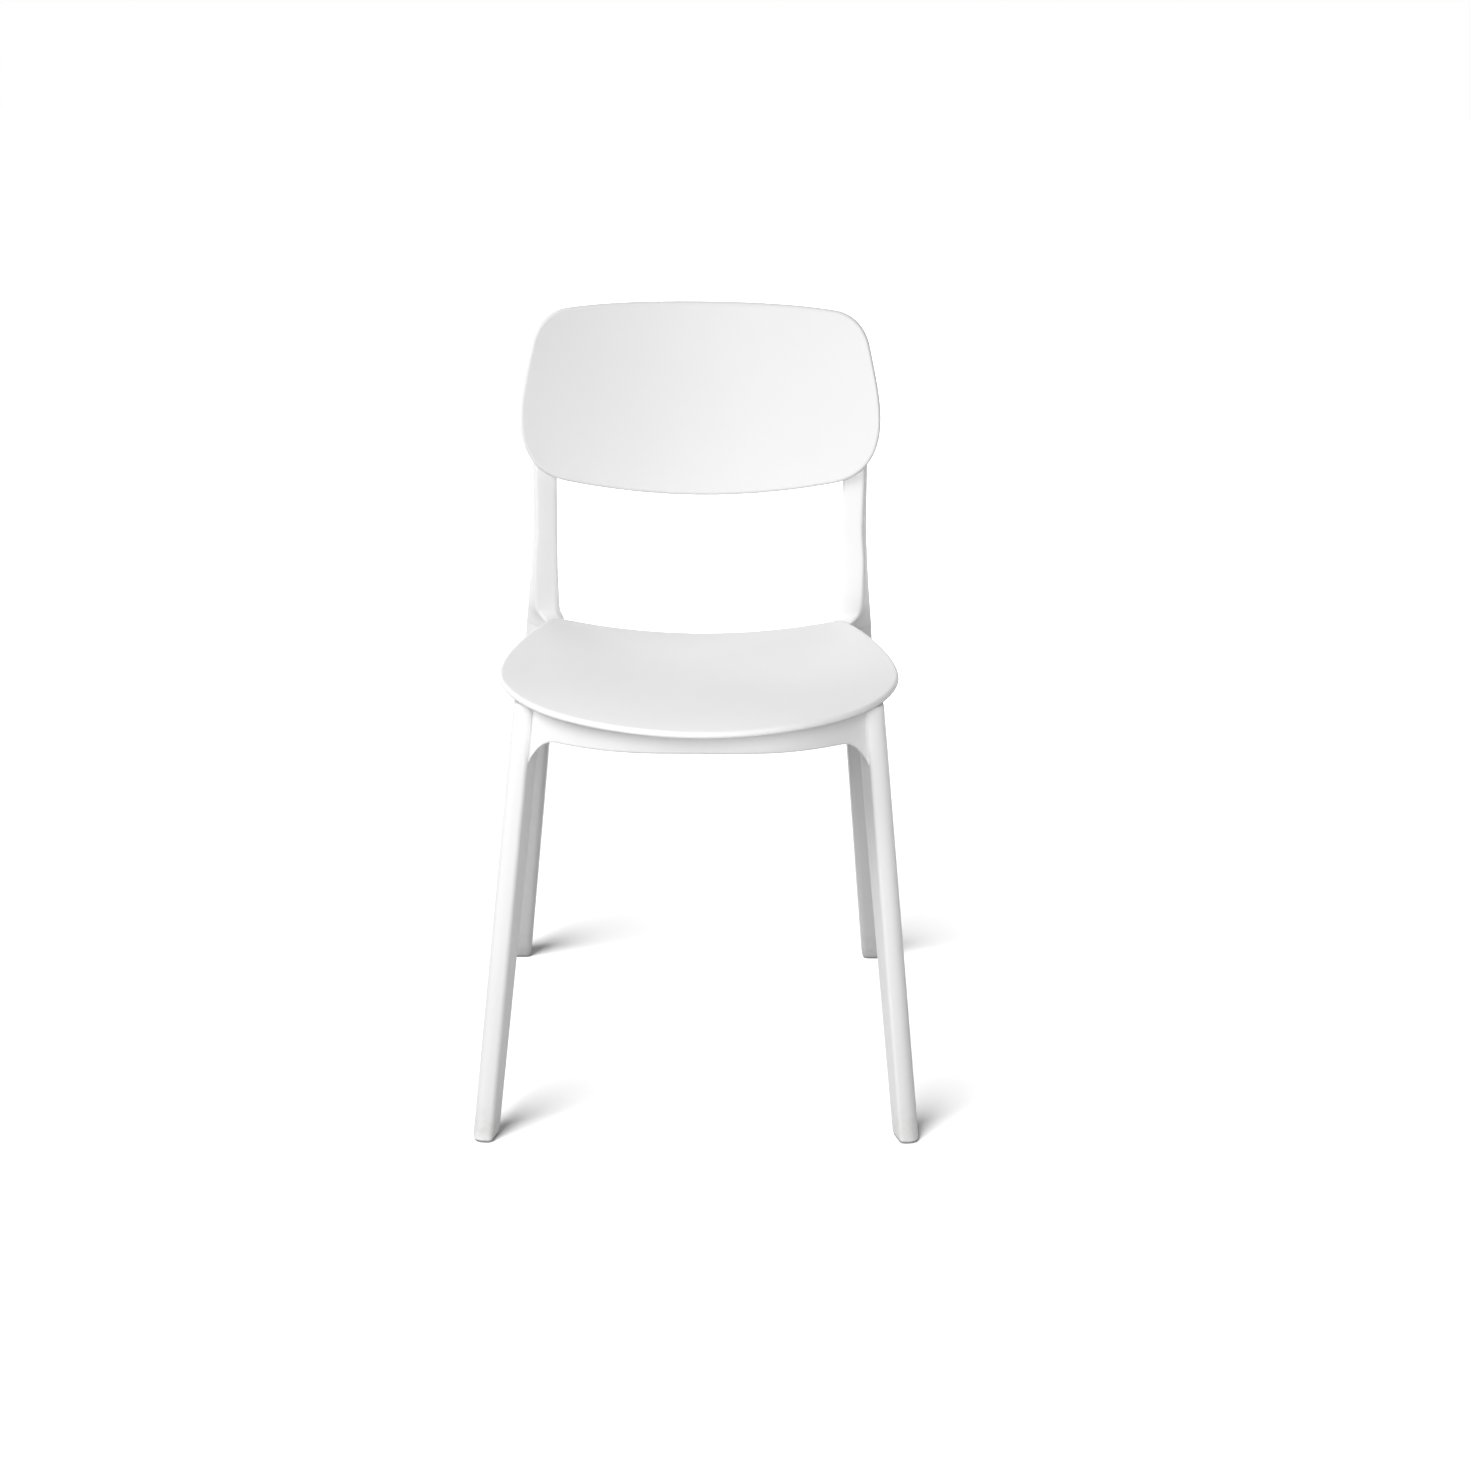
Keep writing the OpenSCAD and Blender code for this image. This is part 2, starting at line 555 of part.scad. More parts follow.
rear_stations = concat(
    [leg_station(glide_h, rear_foot_front, rear_foot_out - 1.5, foot_y + 2)],
    [for (r = shin_rows) let (z = rail_top * r[0])
        leg_station(z, down(knee_front_y + r[1], rear_foot_front, z),
            down(knee_out - r[2], rear_foot_out - 1.8, z), foot_y - r[3])],
    [for (r = knee_rows)
        leg_station(knee_low - r[0], knee_front_y + r[1], knee_x + r[2], knee_rear_y - r[3],
            r[4])],
    [leg_station(rail_top - rail_h * 0.4, knee_front_y, knee_x, knee_rear_y - 11, 8.5),
        leg_station(rail_top, knee_front_y, knee_x, knee_rear_y - 11, 14)],
    [for (r = root_rows) rise_station(r[0], r[1], r[2], knee_rear_y - r[3], r[4], r[5])],
    [post_station(back_bottom + 12, 4.8), post_station(back_bottom + 60, 4.4),
        post_station(post_top - 30, 4, 2), post_station(post_top - 8, 4, 3)]);

// Rounding of the six corners, wider on the posts
function corner_cuts(z) = z > rail_top ? [5, 5, 6, 7, 8, 6] : [7, 9, 6, 9, 9, 7];
function rear_ring(s) =
    [for (p = rounded([s[1], s[2], s[3], s[4], s[5], s[6]], corner_cuts(s[0]), 3))
        [p[0], p[1], s[0]]];
// The posts end in a rounded tip
function shrink(ring, s, rise) =
    let (n = len(ring), c = [for (k = [0:2]) [for (p = ring) p[k]] * [for (p = ring) 1 / n]])
    [for (p = ring) [c[0] + (p[0] - c[0]) * s, c[1] + (p[1] - c[1]) * s + back_lean * rise,
        c[2] + rise]];

module rear_leg() {
    rings = [for (s = rear_stations) rear_ring(s)];
    tip = rings[len(rings) - 1];
    difference() {
        skin(concat(rings, [shrink(tip, 0.9, 5), shrink(tip, 0.6, 8)]));
        side_rear_tenon(tenon_gap);
        rear_tenon(tenon_gap);
        pin_bores([pins[2], pins[3]]);
        translate([rear_foot_x, foot_y, 0])
            cylinder(d = stem_d + 2 * bore_gap, h = glide_h + stem_len + bore_gap);
        on_post_fixings() {
            cylinder(d = screw_d + 2 * head_gap, h = 3 * post_d, center = true);
            translate([0, 0, post_web]) cylinder(d = cap_d + 2 * bore_gap, h = 2 * post_d);
        }
    }
}
module rear_leg_left() { color(white) mirror([1, 0, 0]) rear_leg(); }
module rear_leg_right() { color(white) rear_leg(); }

module on_post_fixings() {
    for (z = back_fix_z)
        translate([back_fix_x, back_rear(back_fix_x, z), z])
        rotate([0, 0, -back_turn])
        rotate([-90 - back_tilt, 0, 0])
        children();
}

// ---------------------------------------------------------------- apron and rails

// Half the length of the apron at a height, so that its ends lie on the legs
function apron_end(z) = leg_inner(z) - joint_gap;
// Front face of the apron at a share u of its half length
function apron_y(u) = apron_nose_y + (apron_tip_y - apron_nose_y) * pow(abs(u), 2.8);
// Lower edge of the apron: a shallow arch that turns down at the legs
apron_arch = 10;
gusset_turn = 0.92;
function apron_z(u) =
    let (a = abs(u), t = gusset_turn * max(0, 1 - (1 - a) * apron_end(rail_top) / gusset_w))
    apron_low - apron_arch * a * a - gusset * (1 - sqrt(1 - t * t));
function apron_slide(u, z) = (z - rail_top) * (foot_y - leg_top_y) / rail_top * pow(u, 6);

function apron_ring(u) =
    let (a = max(-0.9999, min(0.9999, u)), lo = apron_z(a), hi = rail_top,
        turn = (apron_y(a + 0.0001) - apron_y(a)) / (0.0001 * apron_end(rail_top)),
        back = apron_t * (1 + 0.12 * min(1, turn * turn)))
    [for (p = rounded([[0, lo], [back, lo], [back, hi], [0, hi]], [2.5, 2.5, 1.5, 1.5], 2))
        [u * (apron_end(p[1]) + pow(u, 6) * leg_lean(leg_rear(rail_top) - apron_tip_y - p[0])),
            apron_y(a) + p[0] + apron_slide(a, p[1]), p[1]]];
apron_half = [0.12, 0.24, 0.36, 0.48, 0.6, 0.72, 0.8, 0.87, 0.9, 0.93, 0.96, 0.985, 1];
apron_u = concat([for (i = [len(apron_half) - 1:-1:0]) -apron_half[i]], [0], apron_half);

module front_apron() {
    color(shade)
    difference() {
        union() {
            skin([for (u = apron_u) apron_ring(u)]);
            for (side = [LEFT, RIGHT]) on_side(side) apron_tenon();
        }
        for (side = [LEFT, RIGHT]) on_side(side) pin_bores([pins[0]]);
        for (i = [0, 1]) seat_screw_bore(i, apron_web);
    }
}

// Hole for a seat screw, with a wider bore for its head from below
module seat_screw_bore(i, web) {
    translate([seat_fixings[i][0], seat_fixings[i][1], 0]) {
        translate([0, 0, ledge(i) - web - 1]) cylinder(d = screw_d + 2 * bore_gap, h = web + 2);
        cylinder(d = head_d + 2 * head_gap, h = ledge(i) - web);
    }
}

// A straight rail with rounded edges along +Y, centred across, its top at height 0
module bar(length, width, height) {
    r = 3;
    rotate([-90, 0, 0])
    linear_extrude(length)
    translate([0, height / 2])
    difference() {
        square([width, height], center = true);
        for (sx = [-1, 1], sy = [-1, 1])
            translate([sx * width / 2, sy * height / 2])
            difference() {
                square(2 * r, center = true);
                translate([-sx * r, -sy * r]) circle(r);
            }
    }
}

// Everything in front of the front leg's rear side
module beyond_front_leg() {
    translate([0, leg_rear(rail_top) + joint_gap, rail_top])
    rotate([-atan((foot_y - leg_top_y) / rail_top), 0, 0])
    translate([0, -foot_y, -rail_top / 2])
    cube([seat_half_w, foot_y, rail_top]);
}

// The rear rail follows the seat's dish; u runs from -1 to 1 between the legs
function rear_rail_z(u) = rear_rail_top + rear_rail_sweep * u * u;
function rear_rail_ring(u) =
    let (hi = rear_rail_z(u), lo = rear_rail_top - rear_rail_h + rear_rail_sweep * 0.5 * u * u,
        half = rear_rail_t / 2)
    [for (p = rounded([[-half, lo], [half, lo], [half, hi], [-half, hi]], [3, 3, 3, 3], 3))
        [u * (down(post_in, rear_foot_in, p[1]) - joint_gap), rear_rail_y + p[0], p[1]]];
module rear_rail() {
    color(shade)
    difference() {
        union() {
            skin([for (i = [-8:8]) rear_rail_ring(i / 8)]);
            for (side = [LEFT, RIGHT]) on_side(side) rear_tenon();
        }
        for (side = [LEFT, RIGHT]) on_side(side) pin_bores([pins[3]]);
        for (i = [2, 3]) {
            seat_screw_bore(i, rear_web);
            translate([seat_fixings[i][0], seat_fixings[i][1], ledge(i)])
                cylinder(d = boss_d + 2 * fit_gap, h = rear_rail_sweep);
        }
    }
}

module side_rail(side) {
    y0 = leg_rear(knee_low - rail_h);
    on_side(side)
    difference() {
        union() {
            difference() {
                translate([side_screw_x, y0, rail_top]) bar(knee_front_y - y0, rail_t, rail_h);
                beyond_front_leg();
            }
            side_front_tenon();
            side_rear_tenon();
        }
        pin_bores([pins[1], pins[2]]);
        for (i = [6, 7]) seat_screw_bore(i, side_web);
        for (y = pad_y) translate([side_screw_x, y, rail_top - rail_h - 1])
            cylinder(d = pad_d / 2 + 2 * bore_gap, h = 9);
    }
}
module side_rail_left() { color(shade) side_rail(LEFT); }
module side_rail_right() { color(shade) side_rail(RIGHT); }

// ---------------------------------------------------------------- fasteners

module frame_pins() {
    color(steel)
    for (side = [LEFT, RIGHT]) on_side(side)
        for (p = pins)
            translate([p[0], p[1], p[2]])
            cylinder(d = pin_d, h = rail_top - 0.5 - p[2]);
}

// A threaded insert: a knurled bush with a groove, standing on its lower face
module insert() {
    difference() {
        union() {
            cylinder(d = insert_d, h = insert_len * 0.42);
            cylinder(d = insert_d - 0.8, h = insert_len);
            translate([0, 0, insert_len * 0.58]) cylinder(d = insert_d, h = insert_len * 0.42);
        }
        translate([0, 0, -1]) cylinder(d = screw_d + 2 * bore_gap, h = insert_len + 2);
    }
}
module seat_inserts() {
    color(brass)
    for (i = [0:len(seat_fixings) - 1])
        translate([seat_fixings[i][0], seat_fixings[i][1], ledge(i)])
        insert();
}

// A screw that points up, with the underside of its head at height 0
module screw(length) {
    cylinder(d = screw_d, h = length);
    difference() {
        translate([0, 0, -head_h]) cylinder(d = head_d, h = head_h);
        translate([0, 0, -head_h - 1]) cylinder(d = head_d * 0.42, h = head_h * 0.6 + 1, $fn = 6);
    }
}
function seat_web(i) = i < 2 ? apron_web : i < 4 ? rear_web : side_web;
module seat_screws() {
    color(steel)
    for (i = [0:len(seat_fixings) - 1])
        translate([seat_fixings[i][0], seat_fixings[i][1], ledge(i) - seat_web(i)])
        screw(seat_web(i) + insert_len - 0.3);
}

module backrest_inserts() {
    color(brass)
    at_back_fixings()
        mirror([0, 0, 1])
        insert();
}
module backrest_screws() {
    color(steel)
    at_back_fixings()
        translate([0, 0, post_web])
        mirror([0, 0, 1])
        screw(post_web + insert_len - 0.3);
}
module backrest_screw_caps() {
    color(white)
    at_back_fixings()
        translate([0, 0, post_web + head_h])
        cylinder(d = cap_d, h = cap_len);
}

// ---------------------------------------------------------------- feet and pads

// A plate that follows the end of the leg, with a stem that goes up into it
module glide(side, leg_end, c) {
    share = 1 - 2 * glide_margin / leg_w;
    color(grey)
    on_side(side) {
        linear_extrude(glide_h)
            polygon([for (p = leg_end) c + ([p[0], p[1]] - c) * share]);
        translate([c[0], c[1], glide_h - 0.01]) cylinder(d = stem_d, h = stem_len + 0.01);
    }
}
module front_glide(side) { glide(side, leg_ring(glide_h), [foot_x, -leg_foot_y]); }
module rear_glide(side) { glide(side, rear_ring(rear_stations[0]), [rear_foot_x, foot_y]); }
module foot_glide_front_left() { front_glide(LEFT); }
module foot_glide_front_right() { front_glide(RIGHT); }
module foot_glide_rear_left() { rear_glide(LEFT); }
module foot_glide_rear_right() { rear_glide(RIGHT); }

module stacking_pads() {
    color(grey)
    for (side = [LEFT, RIGHT], y = pad_y)
        on_side(side)
        translate([side_screw_x, y, rail_top - rail_h]) {
            rotate_extrude()
                polygon([[0, -pad_h], [pad_d / 2 - 2, -pad_h], [pad_d / 2, -pad_h + 2],
                    [pad_d / 2, 0], [0, 0]]);
            cylinder(d = pad_d / 2, h = 7.5);
        }
}

seat_panel();
backrest_panel();
front_leg_left();
front_leg_right();
rear_leg_left();
rear_leg_right();
front_apron();
rear_rail();
side_rail_left();
side_rail_right();
frame_pins();
seat_inserts();
seat_screws();
backrest_inserts();
backrest_screws();
backrest_screw_caps();
foot_glide_front_left();
foot_glide_front_right();
foot_glide_rear_left();
foot_glide_rear_right();
stacking_pads();
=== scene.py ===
"""A white moulded plastic stacking chair, dressed around its frame. Metres, +Z up, facing -Y."""

import json
import math

import bmesh
import bpy
from mathutils import Matrix, Vector

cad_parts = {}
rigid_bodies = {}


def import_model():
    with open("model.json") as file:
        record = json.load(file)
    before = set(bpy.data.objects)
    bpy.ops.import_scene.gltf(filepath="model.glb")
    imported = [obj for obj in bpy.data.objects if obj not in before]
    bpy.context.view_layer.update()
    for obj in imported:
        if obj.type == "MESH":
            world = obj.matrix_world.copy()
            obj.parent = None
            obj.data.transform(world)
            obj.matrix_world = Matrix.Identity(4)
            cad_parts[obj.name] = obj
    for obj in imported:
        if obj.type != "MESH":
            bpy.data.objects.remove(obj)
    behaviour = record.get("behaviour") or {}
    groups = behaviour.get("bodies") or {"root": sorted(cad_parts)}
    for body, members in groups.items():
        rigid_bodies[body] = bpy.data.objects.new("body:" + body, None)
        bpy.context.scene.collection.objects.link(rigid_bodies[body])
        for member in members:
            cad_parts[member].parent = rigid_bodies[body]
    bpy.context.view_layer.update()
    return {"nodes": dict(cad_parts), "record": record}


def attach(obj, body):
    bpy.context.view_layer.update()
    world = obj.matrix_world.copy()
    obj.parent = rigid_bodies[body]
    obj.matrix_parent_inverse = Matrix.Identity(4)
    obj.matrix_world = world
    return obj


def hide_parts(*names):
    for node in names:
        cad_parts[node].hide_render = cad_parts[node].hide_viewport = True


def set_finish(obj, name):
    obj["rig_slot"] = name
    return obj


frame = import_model()

MM = 0.001

# -------------------- sizes, in millimetres

# The whole chair; FOOT_TOE is how far the front feet stand inside the rear ones
OVERALL_H = 812.0
OVERALL_W = 474.5
OVERALL_D = 489.0
FOOT_TOE = 3.5
SEAT_H = 456.0

# Seat: half an oval in front of its widest line, and behind it a longer one that is cut off straight
SEAT_HALF_W = 213.0
SEAT_MID_Y = -40.0
SEAT_FRONT = 204.0
SEAT_REAR = 205.0
SEAT_OVAL = 325.0
SEAT_CORNER = 12.0
SEAT_RIM_T = 7.5
SEAT_SKIN_T = 5.0
SEAT_RIM_W = 12.0
SEAT_DISH = 18.0
SEAT_ROLL = 3.5
SEAT_BACK_Y = SEAT_MID_Y + SEAT_REAR
SEAT_HEART = (0.0, SEAT_MID_Y + 20.0)

# Backrest
BACK_HALF_W = SEAT_HALF_W - 8.5
BACK_H = 217.0
BACK_SAG = 33.7
BACK_LEAN = 0.15
BACK_TOP_Y = SEAT_BACK_Y + 60.0
BACK_T = 9.0
BACK_BOTTOM = OVERALL_H - BACK_H

# Rear legs: posts behind the backrest, knees below the seat, and feet
POST_IN = SEAT_HALF_W - 49.5
POST_W = 24.5
POST_D = 21.0
POST_TOP = OVERALL_H - 60.0
POST_TAPER = 2.0
POST_DRAFT = 2.5
REAR_FOOT_W = 28.5
REAR_FOOT_D = 29.0
REAR_FOOT_X = (OVERALL_W - REAR_FOOT_W) / 2
KNEE_OUT = SEAT_HALF_W - 8.5
KNEE_REAR_Y = SEAT_BACK_Y + 42.0
KNEE_FRONT_Y = SEAT_BACK_Y - 43.0

# Front legs: narrower at the front than at the rear, with a broad round at the outer front edge
LEG_W = 29.0
LEG_D = 31.0
LEG_FOOT_D = 24.0
LEG_TOP_X = SEAT_HALF_W - 36.0
LEG_TOP_Y = SEAT_FRONT - SEAT_MID_Y - 123.0
LEG_RISE = 3.0
LEG_SLANT = 9.0
LEG_OUTER_R = 13.5
LEG_INNER_R = 4.0
LEG_REAR_R = 3.0
LEG_TOP_EASE = 1.4
FOOT_X = REAR_FOOT_X - FOOT_TOE
FOOT_Y = (OVERALL_D - REAR_FOOT_D) / 2
FOOT_EASE = 1.6
GLIDE_H = 2.0
FIT_GAP = 0.4
JOINT_GAP = 0.1

# Rails under the seat; the side rails lie just outside the posts' inner sides
RAIL_TOP = SEAT_H - 14.0
RAIL_H = 30.0
RAIL_T = 22.0
KNEE_LOW = RAIL_TOP - RAIL_H
SIDE_X = POST_IN + 1.0 + RAIL_T / 2
REAR_RAIL_T = 20.0
REAR_RAIL_SWEEP = 12.0
REAR_RAIL_Y = SEAT_BACK_Y - 6.0 - REAR_RAIL_T / 2
REAR_RAIL_TOP = SEAT_H - SEAT_DISH * 1.03 - SEAT_RIM_T - 2.0

# Apron: a shallow arch between the front legs, with round corners under its ends
APRON_H = 21.0
APRON_T = 16.0
APRON_INSET = 26.0
APRON_ARCH = 10.0
APRON_LOW = RAIL_TOP - APRON_H
GUSSET = 44.0
GUSSET_W = 21.0
GUSSET_TURN = 0.92

# Screws and inserts; the webs are the plastic left under the screws' heads
BOSS_D = 14.0
INSERT_BORE_D = 6.6
INSERT_BORE_H = 5.6
APRON_SCREW_X = 70.0
REAR_SCREW_X = 80.0
SIDE_SCREW_Y = 60.0
BACK_SCREW_X = POST_IN + POST_W * 0.48
BACK_SCREW_Z = [BACK_BOTTOM + BACK_H * 0.28, BACK_BOTTOM + BACK_H * 0.56]
HEAD_BORE_D = 9.2
CAP_BORE_D = 9.4
HEAD_H = 2.6
POST_WEB = 9.0
APRON_WEB = APRON_H * 0.5


# -------------------- curves


def between(a, b, slope_a, slope_b, key):
    """Value of the cubic with the given slopes between two (key, value) rows, level beyond them."""
    w = b[0] - a[0]
    t = min(1.0, max(0.0, (key - a[0]) / w))
    t2, t3 = t * t, t * t * t
    return (a[1] * (2 * t3 - 3 * t2 + 1) + b[1] * (3 * t2 - 2 * t3)
            + slope_a * w * (t3 - 2 * t2 + t) + slope_b * w * (t3 - t2))


def curve(rows, key):
    """Value of a smooth curve through (key, value) rows."""
    last = len(rows) - 1
    i = 0
    while i < last - 1 and key > rows[i + 1][0]:
        i += 1

    def slope(k):
        a, b = rows[max(0, k - 1)], rows[min(last, k + 1)]
        return (b[1] - a[1]) / (b[0] - a[0])

    return between(rows[i], rows[i + 1], slope(i), slope(i + 1), key)


def mixed(a, b, t):
    """Point at a share t of the way from a to b."""
    return tuple(p + (q - p) * t for p, q in zip(a, b))


def toward(a, b, d, limit):
    """Point at distance d from a towards b, never past a share of the way."""
    return mixed(a, b, min(limit, d / math.dist(a, b)))


def bend(a, b, c, t):
    """Curve from a to c, pulled by b."""
    return mixed(mixed(a, b, t), mixed(b, c, t), t)


def pull(a, b, c, d, t):
    """Cubic curve from a to d, pulled by b and c."""
    return mixed(bend(a, b, c, t), bend(b, c, d, t), t)


def rounded(corners, cuts, steps, limit=0.48):
    """Closed outline with each corner rounded by its own distance."""
    n = len(corners)
    out = []
    for i, p in enumerate(corners):
        a = toward(p, corners[i - 1], cuts[i], limit)
        c = toward(p, corners[(i + 1) % n], cuts[i], limit)
        out += [bend(a, p, c, s / steps) for s in range(steps + 1)]
    return out


def inset(outline, distance):
    """Outline moved inward along its own normals; the outline runs counter-clockwise."""
    n = len(outline)
    out = []
    for i, p in enumerate(outline):
        a, b = outline[i - 1], outline[(i + 1) % n]
        tx, ty = b[0] - a[0], b[1] - a[1]
        length = math.hypot(tx, ty) or 1.0
        out.append((p[0] - ty / length * distance, p[1] + tx / length * distance))
    return out


def scaled(outline, heart, s):
    """Outline drawn in towards a point, to a share of its size."""
    return [(heart[0] + (p[0] - heart[0]) * s, heart[1] + (p[1] - heart[1]) * s) for p in outline]


def monotone(keys, values, key):
    """Smooth curve through the values that never overshoots them."""
    n = len(keys)
    i = 0
    while i < n - 2 and key > keys[i + 1]:
        i += 1

    def step(k):
        return (values[k + 1] - values[k]) / (keys[k + 1] - keys[k])

    def slope(k):
        if k == 0:
            return step(0)
        if k == n - 1:
            return step(n - 2)
        a, b = step(k - 1), step(k)
        return 0.0 if a * b <= 0 else 2 * a * b / (a + b)

    a, b = (keys[i], values[i]), (keys[i + 1], values[i + 1])
    return between(a, b, slope(i), slope(i + 1), key)


def spread(low, high, count):
    """Evenly spaced values from low to high, both included."""
    return [low + (high - low) * i / (count - 1) for i in range(count)]


# -------------------- meshes

# Points closer than WELD, in millimetres, become one; edges that turn by more than SHARP, in
# degrees, stay sharp
WELD = 0.01
SHARP = 40.0


def in_scene(name, data):
    """A new object, linked to the scene."""
    obj = bpy.data.objects.new(name, data)
    bpy.context.scene.collection.objects.link(obj)
    return obj


def shade_smooth(bm):
    for f in bm.faces:
        f.smooth = True
    for e in bm.edges:
        e.smooth = not (e.is_manifold and e.calc_face_angle(0.0) > math.radians(SHARP))


def piece(name, points, faces, slot, replaced):
    """A smooth-shaded mesh that rides on the frame; points are in millimetres."""
    mesh = bpy.data.meshes.new(name)
    mesh.from_pydata([tuple(c * MM for c in p) for p in points], [], faces)
    mesh.validate()
    bm = bmesh.new()
    bm.from_mesh(mesh)
    bmesh.ops.remove_doubles(bm, verts=bm.verts, dist=WELD * MM)
    bmesh.ops.recalc_face_normals(bm, faces=bm.faces)
    shade_smooth(bm)
    bm.to_mesh(mesh)
    bm.free()
    obj = in_scene(name, mesh)
    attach(obj, "root")
    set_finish(obj, slot)
    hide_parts(replaced)
    return obj


class Body:
    """Points and faces gathered from several lofts into one piece."""

    def __init__(self):
        self.points = []
        self.faces = []

    def loft(self, rings, start=None, end=None, start_flat=False, end_flat=False):
        """Skin closed rings; an end is drawn to a point, closed flat, or left open."""
        base = len(self.points)
        n = len(rings[0])
        for r in rings:
            self.points += [tuple(p) for p in r]
        for i in range(len(rings) - 1):
            for j in range(n):
                a, b = base + i * n + j, base + i * n + (j + 1) % n
                self.faces.append((a, b, b + n, a + n))
        top = base + (len(rings) - 1) * n
        if start is not None:
            self.points.append(tuple(start))
            tip = len(self.points) - 1
            self.faces += [(tip, base + (j + 1) % n, base + j) for j in range(n)]
        elif start_flat:
            self.faces.append(tuple(base + j for j in reversed(range(n))))
        if end is not None:
            self.points.append(tuple(end))
            tip = len(self.points) - 1
            self.faces += [(tip, top + j, top + (j + 1) % n) for j in range(n)]
        elif end_flat:
            self.faces.append(tuple(top + j for j in range(n)))

    def mirrored(self):
        other = Body()
        other.points = [(-p[0], p[1], p[2]) for p in self.points]
        other.faces = [tuple(reversed(f)) for f in self.faces]
        return other

    def make(self, name, slot, replaced):
        return piece(name, self.points, self.faces, slot, replaced)


def middle(ring):
    """Mean of a ring's points."""
    n = len(ring)
    return tuple(sum(p[k] for p in ring) / n for k in range(3))


def tapered(ring, shrink, rise):
    """A ring drawn in towards its middle by a distance and moved up or down."""
    c = middle(ring)
    out = []
    for p in ring:
        d = math.hypot(p[0] - c[0], p[1] - c[1])
        s = max(0.0, 1 - shrink / d)
        out.append((c[0] + (p[0] - c[0]) * s, c[1] + (p[1] - c[1]) * s, p[2] + rise))
    return out


def end_rings(ring, radius, up, steps=5):
    """Rings that round off the end of a bar; up is 1 at its top and -1 at its bottom."""
    out = []
    for i in range(1, steps + 1):
        a = math.pi / 2 * i / steps
        out.append(tapered(ring, radius * (1 - math.cos(a)), up * radius * (math.sin(a) - 1)))
    return out


def rod(start, direction, radius, length, count=36):
    """A plain cylinder that is only used to cut a bore; millimetres."""
    bm = bmesh.new()
    bmesh.ops.create_cone(bm, cap_ends=True, segments=count, radius1=radius * MM,
                          radius2=radius * MM, depth=length * MM)
    bmesh.ops.translate(bm, verts=bm.verts, vec=(0, 0, length * MM / 2))
    turn = Vector(direction).to_track_quat("Z", "Y").to_matrix().to_4x4()
    bmesh.ops.transform(bm, matrix=Matrix.Translation(Vector(start) * MM) @ turn, verts=bm.verts)
    mesh = bpy.data.meshes.new("cutter")
    bm.to_mesh(mesh)
    bm.free()
    return in_scene("cutter", mesh)


def bore(obj, cutters):
    """Cut bores into a piece; the cutters are used up."""
    for cutter in cutters:
        cut = obj.modifiers.new("bore", "BOOLEAN")
        cut.operation = "DIFFERENCE"
        cut.solver = "EXACT"
        cut.object = cutter
    graph = bpy.context.evaluated_depsgraph_get()
    mesh = bpy.data.meshes.new_from_object(obj.evaluated_get(graph))
    obj.modifiers.clear()
    obj.data = mesh
    for cutter in cutters:
        bpy.data.objects.remove(cutter)
    bm = bmesh.new()
    bm.from_mesh(mesh)
    shade_smooth(bm)
    bm.to_mesh(mesh)
    bm.free()


# -------------------- seat

# The longer oval: its angle where the rear corner starts, and its half width at the rear edge
TAIL_ANGLE = math.asin((SEAT_REAR - SEAT_CORNER) / SEAT_OVAL)
TAIL_X = SEAT_HALF_W * math.cos(math.asin(SEAT_REAR / SEAT_OVAL))
# Drop of the seat's centre line and rise of its sides, along the length from -1 to 1
SEAT_DROP = [(-1, SEAT_ROLL), (-0.9, SEAT_ROLL * 0.66), (-0.75, SEAT_ROLL * 0.74),
             (-0.4, SEAT_DISH * 0.39), (0, SEAT_DISH * 0.78), (0.5, SEAT_DISH * 1.03),
             (1, SEAT_DISH * 0.94)]
SEAT_RISE = [(-1, SEAT_DISH * 0.06), (-0.75, SEAT_DISH * 0.14), (-0.5, SEAT_DISH * 0.39),
             (0, SEAT_DISH * 0.83), (0.5, SEAT_DISH * 1.14), (1, SEAT_DISH * 1.64)]
# Points along the outline's front oval, flank, rear corner and straight rear edge
FRONT_STEPS = 44
FLANK_STEPS = 26
CORNER_STEPS = 9
REAR_STEPS = 18

# How far in from the outline: the field on top, the last flat ring before the edge's round, the
# rim's underside from its outer to its inner edge, the rim's inner wall, and the ribs' ends
SEAT_FIELD_IN = 9.0
SEAT_ROUND_IN = 6.5
RIM_OUTER_IN = 6.0
RIM_INNER_IN = SEAT_RIM_W - 2.0
RIM_WALL_IN = SEAT_RIM_W - 1.0
RIB_END_IN = SEAT_RIM_W - 1.5
# Radii that round the edge above and below
SEAT_EDGE_TOP_R = 3.9
SEAT_EDGE_LOW_R = 3.3
# Rings on top and underneath, as shares of the way out from the seat's heart
SEAT_TOP_SHARES = [0.02, 0.06, 0.11, 0.17, 0.23, 0.3, 0.37, 0.44, 0.51, 0.58, 0.64, 0.7, 0.76, 0.81,
                   0.86, 0.9, 0.935, 0.965, 0.985]
SEAT_LOW_SHARES = [0.96, 0.92, 0.86, 0.8, 0.72, 0.64, 0.55, 0.46, 0.37, 0.28, 0.19, 0.1, 0.03]
# The rim's inner wall leans in a little: share of its outline and depth below the top
RIM_WALL_LEAN = 0.996
RIM_WALL_ROWS = [(1.0, SEAT_RIM_T - 0.4), (0.996, SEAT_SKIN_T + 0.6), (0.989, SEAT_SKIN_T)]

# Stiffening ribs: spacing, points along each, half widths at the skin, near the tip and at it, how
# far they sink into the skin, how far they stay above the rim's underside, and the tip's height
RIB_STEP_X = 42.0
RIB_STEP_Y = 44.0
RIB_POINTS = 40
RIB_ROOT = 1.5
RIB_SHOULDER = 0.9
RIB_TIP = 0.6
RIB_SINK = 0.3
RIB_SHORT = 0.4
RIB_TIP_H = 0.4

